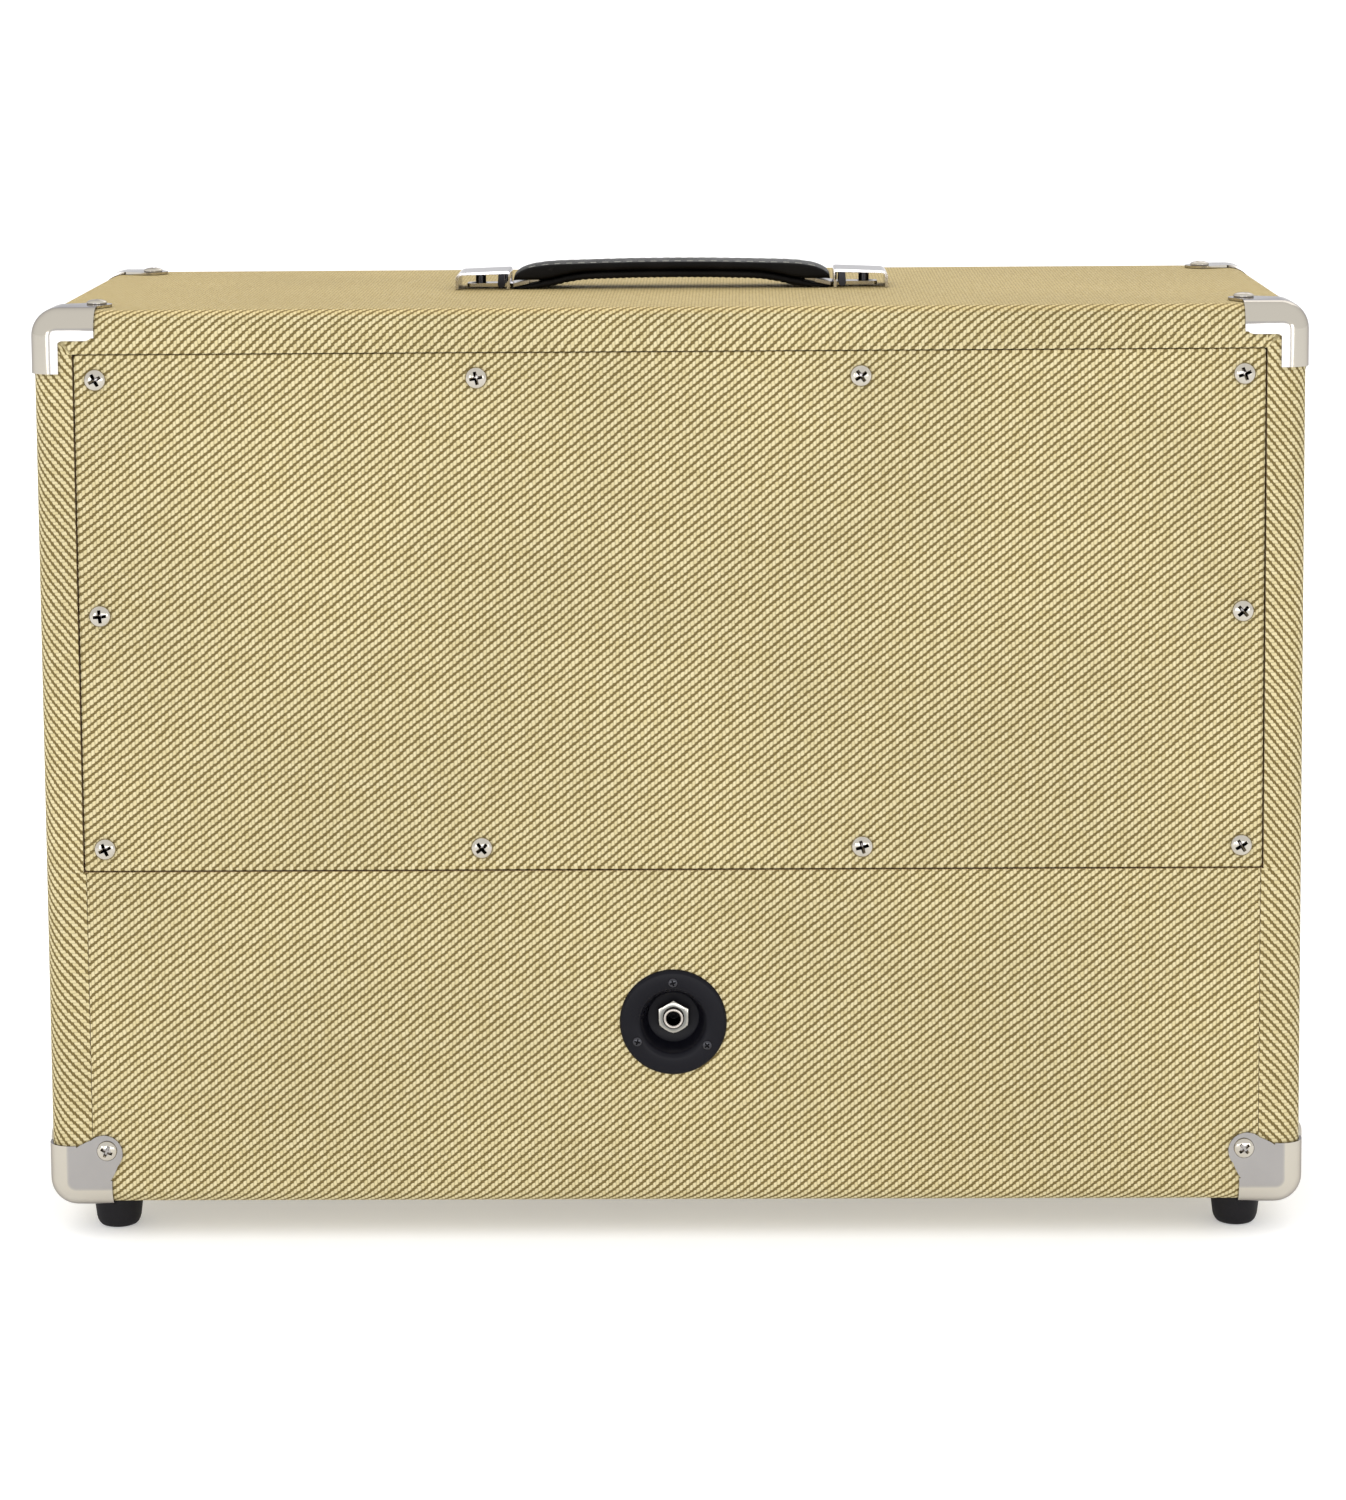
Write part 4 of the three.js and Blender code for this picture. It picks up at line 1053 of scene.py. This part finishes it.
def caps():
    outer = CAP_IN + CAP_LEN
    wall, round_out, round_in = 1.45, 3.4, 1.4
    out = [(CAP_IN, 0.3)] + arc(CAP_IN + round_in, CAP_H - round_in, round_in, 180, 90, 5) + \
        arc(outer - round_out, CAP_H - round_out, round_out, 90, 0, 8) + [(outer, 0.3), (outer - wall, 0.3)]
    back = arc(outer - round_out, CAP_H - round_out, round_out - wall, 0, 90, 8) + \
        [(CAP_IN + wall, CAP_H - wall), (CAP_IN + wall, 0.3)]
    outline = out + back
    for label, side in SIDES:
        def place(p, q, level, side=side):
            return side * p, level, TOP + q * (1 - 0.11 * max(0.0, p - CAP_IN) / CAP_LEN)
        shell = slab(outline, -CAP_HALF, CAP_HALF, place)
        lintel = CAP_H - wall - 0.9  # a little under the roof of the cap
        x0, x1 = CAP_IN - 1, CAP_IN + wall + 0.2
        door = slab([(x0, -1), (x1, -1), (x1, lintel), (x0, lintel)], -9, 9, place)
        cap = boolean("cap", shell, [door])
        fixed("cap_bridge_" + label, cap, CHROME, "nickel_plate", "handle_cap_" + label, sharp=38, bevel=0.4)
        post = [(1e-4, 0.3), (2.6, 0.3), (2.6, CAP_H - 2.7), (2.2, CAP_H - 2.3), (1e-4, CAP_H - 2.3)]
        body = turned(post, 24, "z", (side * 95.8, 0, TOP))
        # painted shade: the nickel post is given near-black steel for the shadow under the cap's roof
        fixed("cap_post_" + label, body, BLACK_STEEL_AND_SHADE, "nickel_plate", sharp=40)
        for n, y in enumerate((-11.4, 11.4)):  # side lugs that keep the tongue in line
            lug = slab(arc(84.9, 2.6, 1.9, 180, 360, 8) + [(86.4, 7.6), (83.4, 7.6)], y - 1, y + 1, place)
            # painted shade: the nickel lugs are given near-black steel for the shadow inside the cap
            fixed(f"cap_lug_{label}_{n + 1}", lug, BLACK_STEEL_AND_SHADE, "nickel_plate", bevel=0.2)


# ------------ jack in its dish


DISH_SCREWS = 19.6  # radius of the circle that they are on


def jack():
    at = (0, BACK, JACK_Z)
    dish = [(5.0, -11.0), (11.2, -11.0), (12.3, -10.4), (12.9, -8.6), (14.1, -4.0), (15.0, -0.6), (15.5, 0.6),
            (16.2, 1.45), (17.2, 1.95), (18.4, 2.15), (23.6, 2.1), (24.7, 1.85), (25.4, 1.2), (25.75, 0.3),
            (24.6, 0.3), (17.8, 0.3), (17.2, -1.0), (13.6, -12.5), (5.0, -12.5), (5.0, -11.0)]
    fixed("jack_dish_cup", turned(dish, 72, "y", at), DISH, "black_dish", "jack_dish", sharp=40)
    screw = pan_head(2.35, 1.25, length=0.4, shank=1.2)
    for n, angle in enumerate((90, 208, 326)):
        x, z = DISH_SCREWS * cos(radians(angle)), DISH_SCREWS * sin(radians(angle))
        body = moved(screw, facing("y", 1, 0.3 + n, (-x, BACK + 2.1, JACK_Z + z)))
        fixed(f"jack_dish_screw_{n + 1}", body, BLACK_STEEL_AND_SHADE, "black_dish", sharp=38)
    seat, tail, bore, r = -12.8, -19.2, 3.25, 4.7
    threads = []
    for n in range(6):
        z = -11.2 + 0.8 * n
        threads += [(r, z), (r - 0.32, z + 0.4)]
    rim = [(4.25 + 1.0 * cos(a), -6.6 + 1.1 * sin(a)) for a in np.linspace(pi, 0, 11)]
    barrel = rim + list(reversed(threads)) + \
        [(r, seat), (7.9, seat), (7.9, seat - 2.4), (r, seat - 2.4), (r, tail), (bore, tail), rim[0]]
    fixed("jack_bushing_tube", turned(barrel, 40, "y", at), BUSHING, "nickel_plate", "jack_bushing", sharp=30)
    flats = 14.3 / 2  # half the width across flats
    hexagon = arc(0, 0, flats / cos(pi / 6), 30, 330, 5)
    nut = slab(hexagon, -10.7, -7.9, lambda p, q, level: (p, BACK + level, JACK_Z + q), [circle(5.0, 36)])
    cone = [(1e-4, -12), (9.6, -12), (9.6, -8.9), (7.0, -7.88), (6.6, -7.88), (1e-4, -7.88)]
    nut = boolean("nut", nut, [("INTERSECT", turned(cone, 48, "y", at))])
    fixed("jack_hex_nut", nut, NUT, "nickel_plate", "jack_nut", sharp=30, bevel=0.15)


# ------------ loudspeaker details


BOLT_RING, FLANGE_Y = 148.4, -90.15


def speaker_bolts():
    bolt = pan_head(4.2, 2.6, length=1.0, shank=2.2)
    for n in range(8):
        a = radians(22.5 + 45 * n)
        at = (BOLT_RING * cos(a), FLANGE_Y, SPEAKER_Z + BOLT_RING * sin(a))
        fixed(f"speaker_bolt_{n + 1}", moved(bolt, facing("y", 1, 0.2 * n, at)), ZINC, "steel", sharp=38)


SURROUND = [(140.6, -1.3), (137, -1.5), (134.6, 0.6), (132.2, -1.5), (130, 0.4), (128.3, 0.4),
            (128.3, 1.2), (130.4, 1.2), (132.2, -0.4), (134.6, 1.7), (137.4, -0.4), (140.6, -0.4)]
WAVES = [(23.3, 66), (34, 64.4), (42, 67.6), (50, 64.4), (58, 67.6), (69.4, 66)]


def corrugated(node, profile, outside, inside, look, sectors=16, steps=4):
    """A rolled ring made of sectors, each a piece of its own.
    The radii outside and inside only give two points per sector that are not used."""
    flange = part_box("speaker_surround")[0][1] * 1000 + 1.5
    for n in range(sectors):
        verts = []
        for i in range(steps + 1):
            t = 2 * pi * (n + i / steps) / sectors
            verts += [(r * cos(t), flange + y, SPEAKER_Z + r * sin(t)) for r, y in profile]
        made = piece(f"{node}_sector_{n + 1}", verts, tube(verts, len(profile)), look, sharp=50)
        t = 2 * pi * (n + 0.5) / sectors
        start, end = ((r * cos(t) / 1000, flange / 1000, (SPEAKER_Z + r * sin(t)) / 1000)
                      for r in (outside, inside))
        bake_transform(made)
        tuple(start)
        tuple(end)
        if n == 0:
            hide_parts(node)


def suspension():
    corrugated("speaker_surround", SURROUND, 137.6, 128.8, PAPER)
    spider = WAVES + [(r, y + 0.9) for r, y in reversed(WAVES)]
    corrugated("speaker_spider", spider, 67.5, 25.0, SPIDER)


LOOKS = {  # for the nodes that keep their own mesh
    PLY_TOP: ["top_panel", "bottom_panel", "cleat_top"],
    PLY_SIDE: ["left_side_panel", "right_side_panel", "cleat_left", "cleat_right"],
    PLY_BACK: ["baffle_board", "lower_back_panel", "rear_access_panel", "panel_batten", "grille_frame"],
    ZINC: ["jack_frame", "magnet_top_plate", "magnet_pole_and_back_plate"],
    PAPER: ["speaker_cone", "speaker_dust_cap"],
    BRASS: ["jack_tip_contact"], BASKET: ["speaker_basket"], GASKET: ["speaker_gasket"],
    COIL: ["speaker_voice_coil"], FERRITE: ["magnet_ring"], PHENOLIC: ["terminal_strip"],
    CABLE: ["speaker_lead"],
}


def floor():
    k = Look("studio_floor", Emission_Color=(1, 1, 1), Emission_Strength=0.34)
    spot = k.place()
    color = k.mix(k.noise(spot, 3, 3), (0.77, 0.77, 0.77), (0.80, 0.80, 0.80))
    look = k.finish(color, k.varied(spot, 40, 3, 0.75, 0.9), k.bump(k.noise(spot, 500, 2), 0.0001, 0.2))
    mesh = bpy.data.meshes.new("studio_floor")
    s = 60  # half its side, in metres
    mesh.from_pydata([(-s, -s, 0), (s, -s, 0), (s, s, 0), (-s, s, 0)], [], [(0, 1, 2, 3)])
    mesh.materials.append(look)
    made = bpy.data.objects.new("studio_floor", mesh)
    made.location.z = -0.0002
    collection.objects.link(made)
    made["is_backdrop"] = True


camera()
studio()
floor()
for look, nodes in LOOKS.items():
    for node in nodes:
        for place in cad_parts[node].material_slots:
            place.material = look
wrap()
lower_strip()
access_cloth()
grille()
access_screws()
corner_protectors()
feet()
strap()
caps()
jack()
speaker_bolts()
suspension()

bpy.context.view_layer.update()
visual_box = [list(map(float, corner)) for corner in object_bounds()]
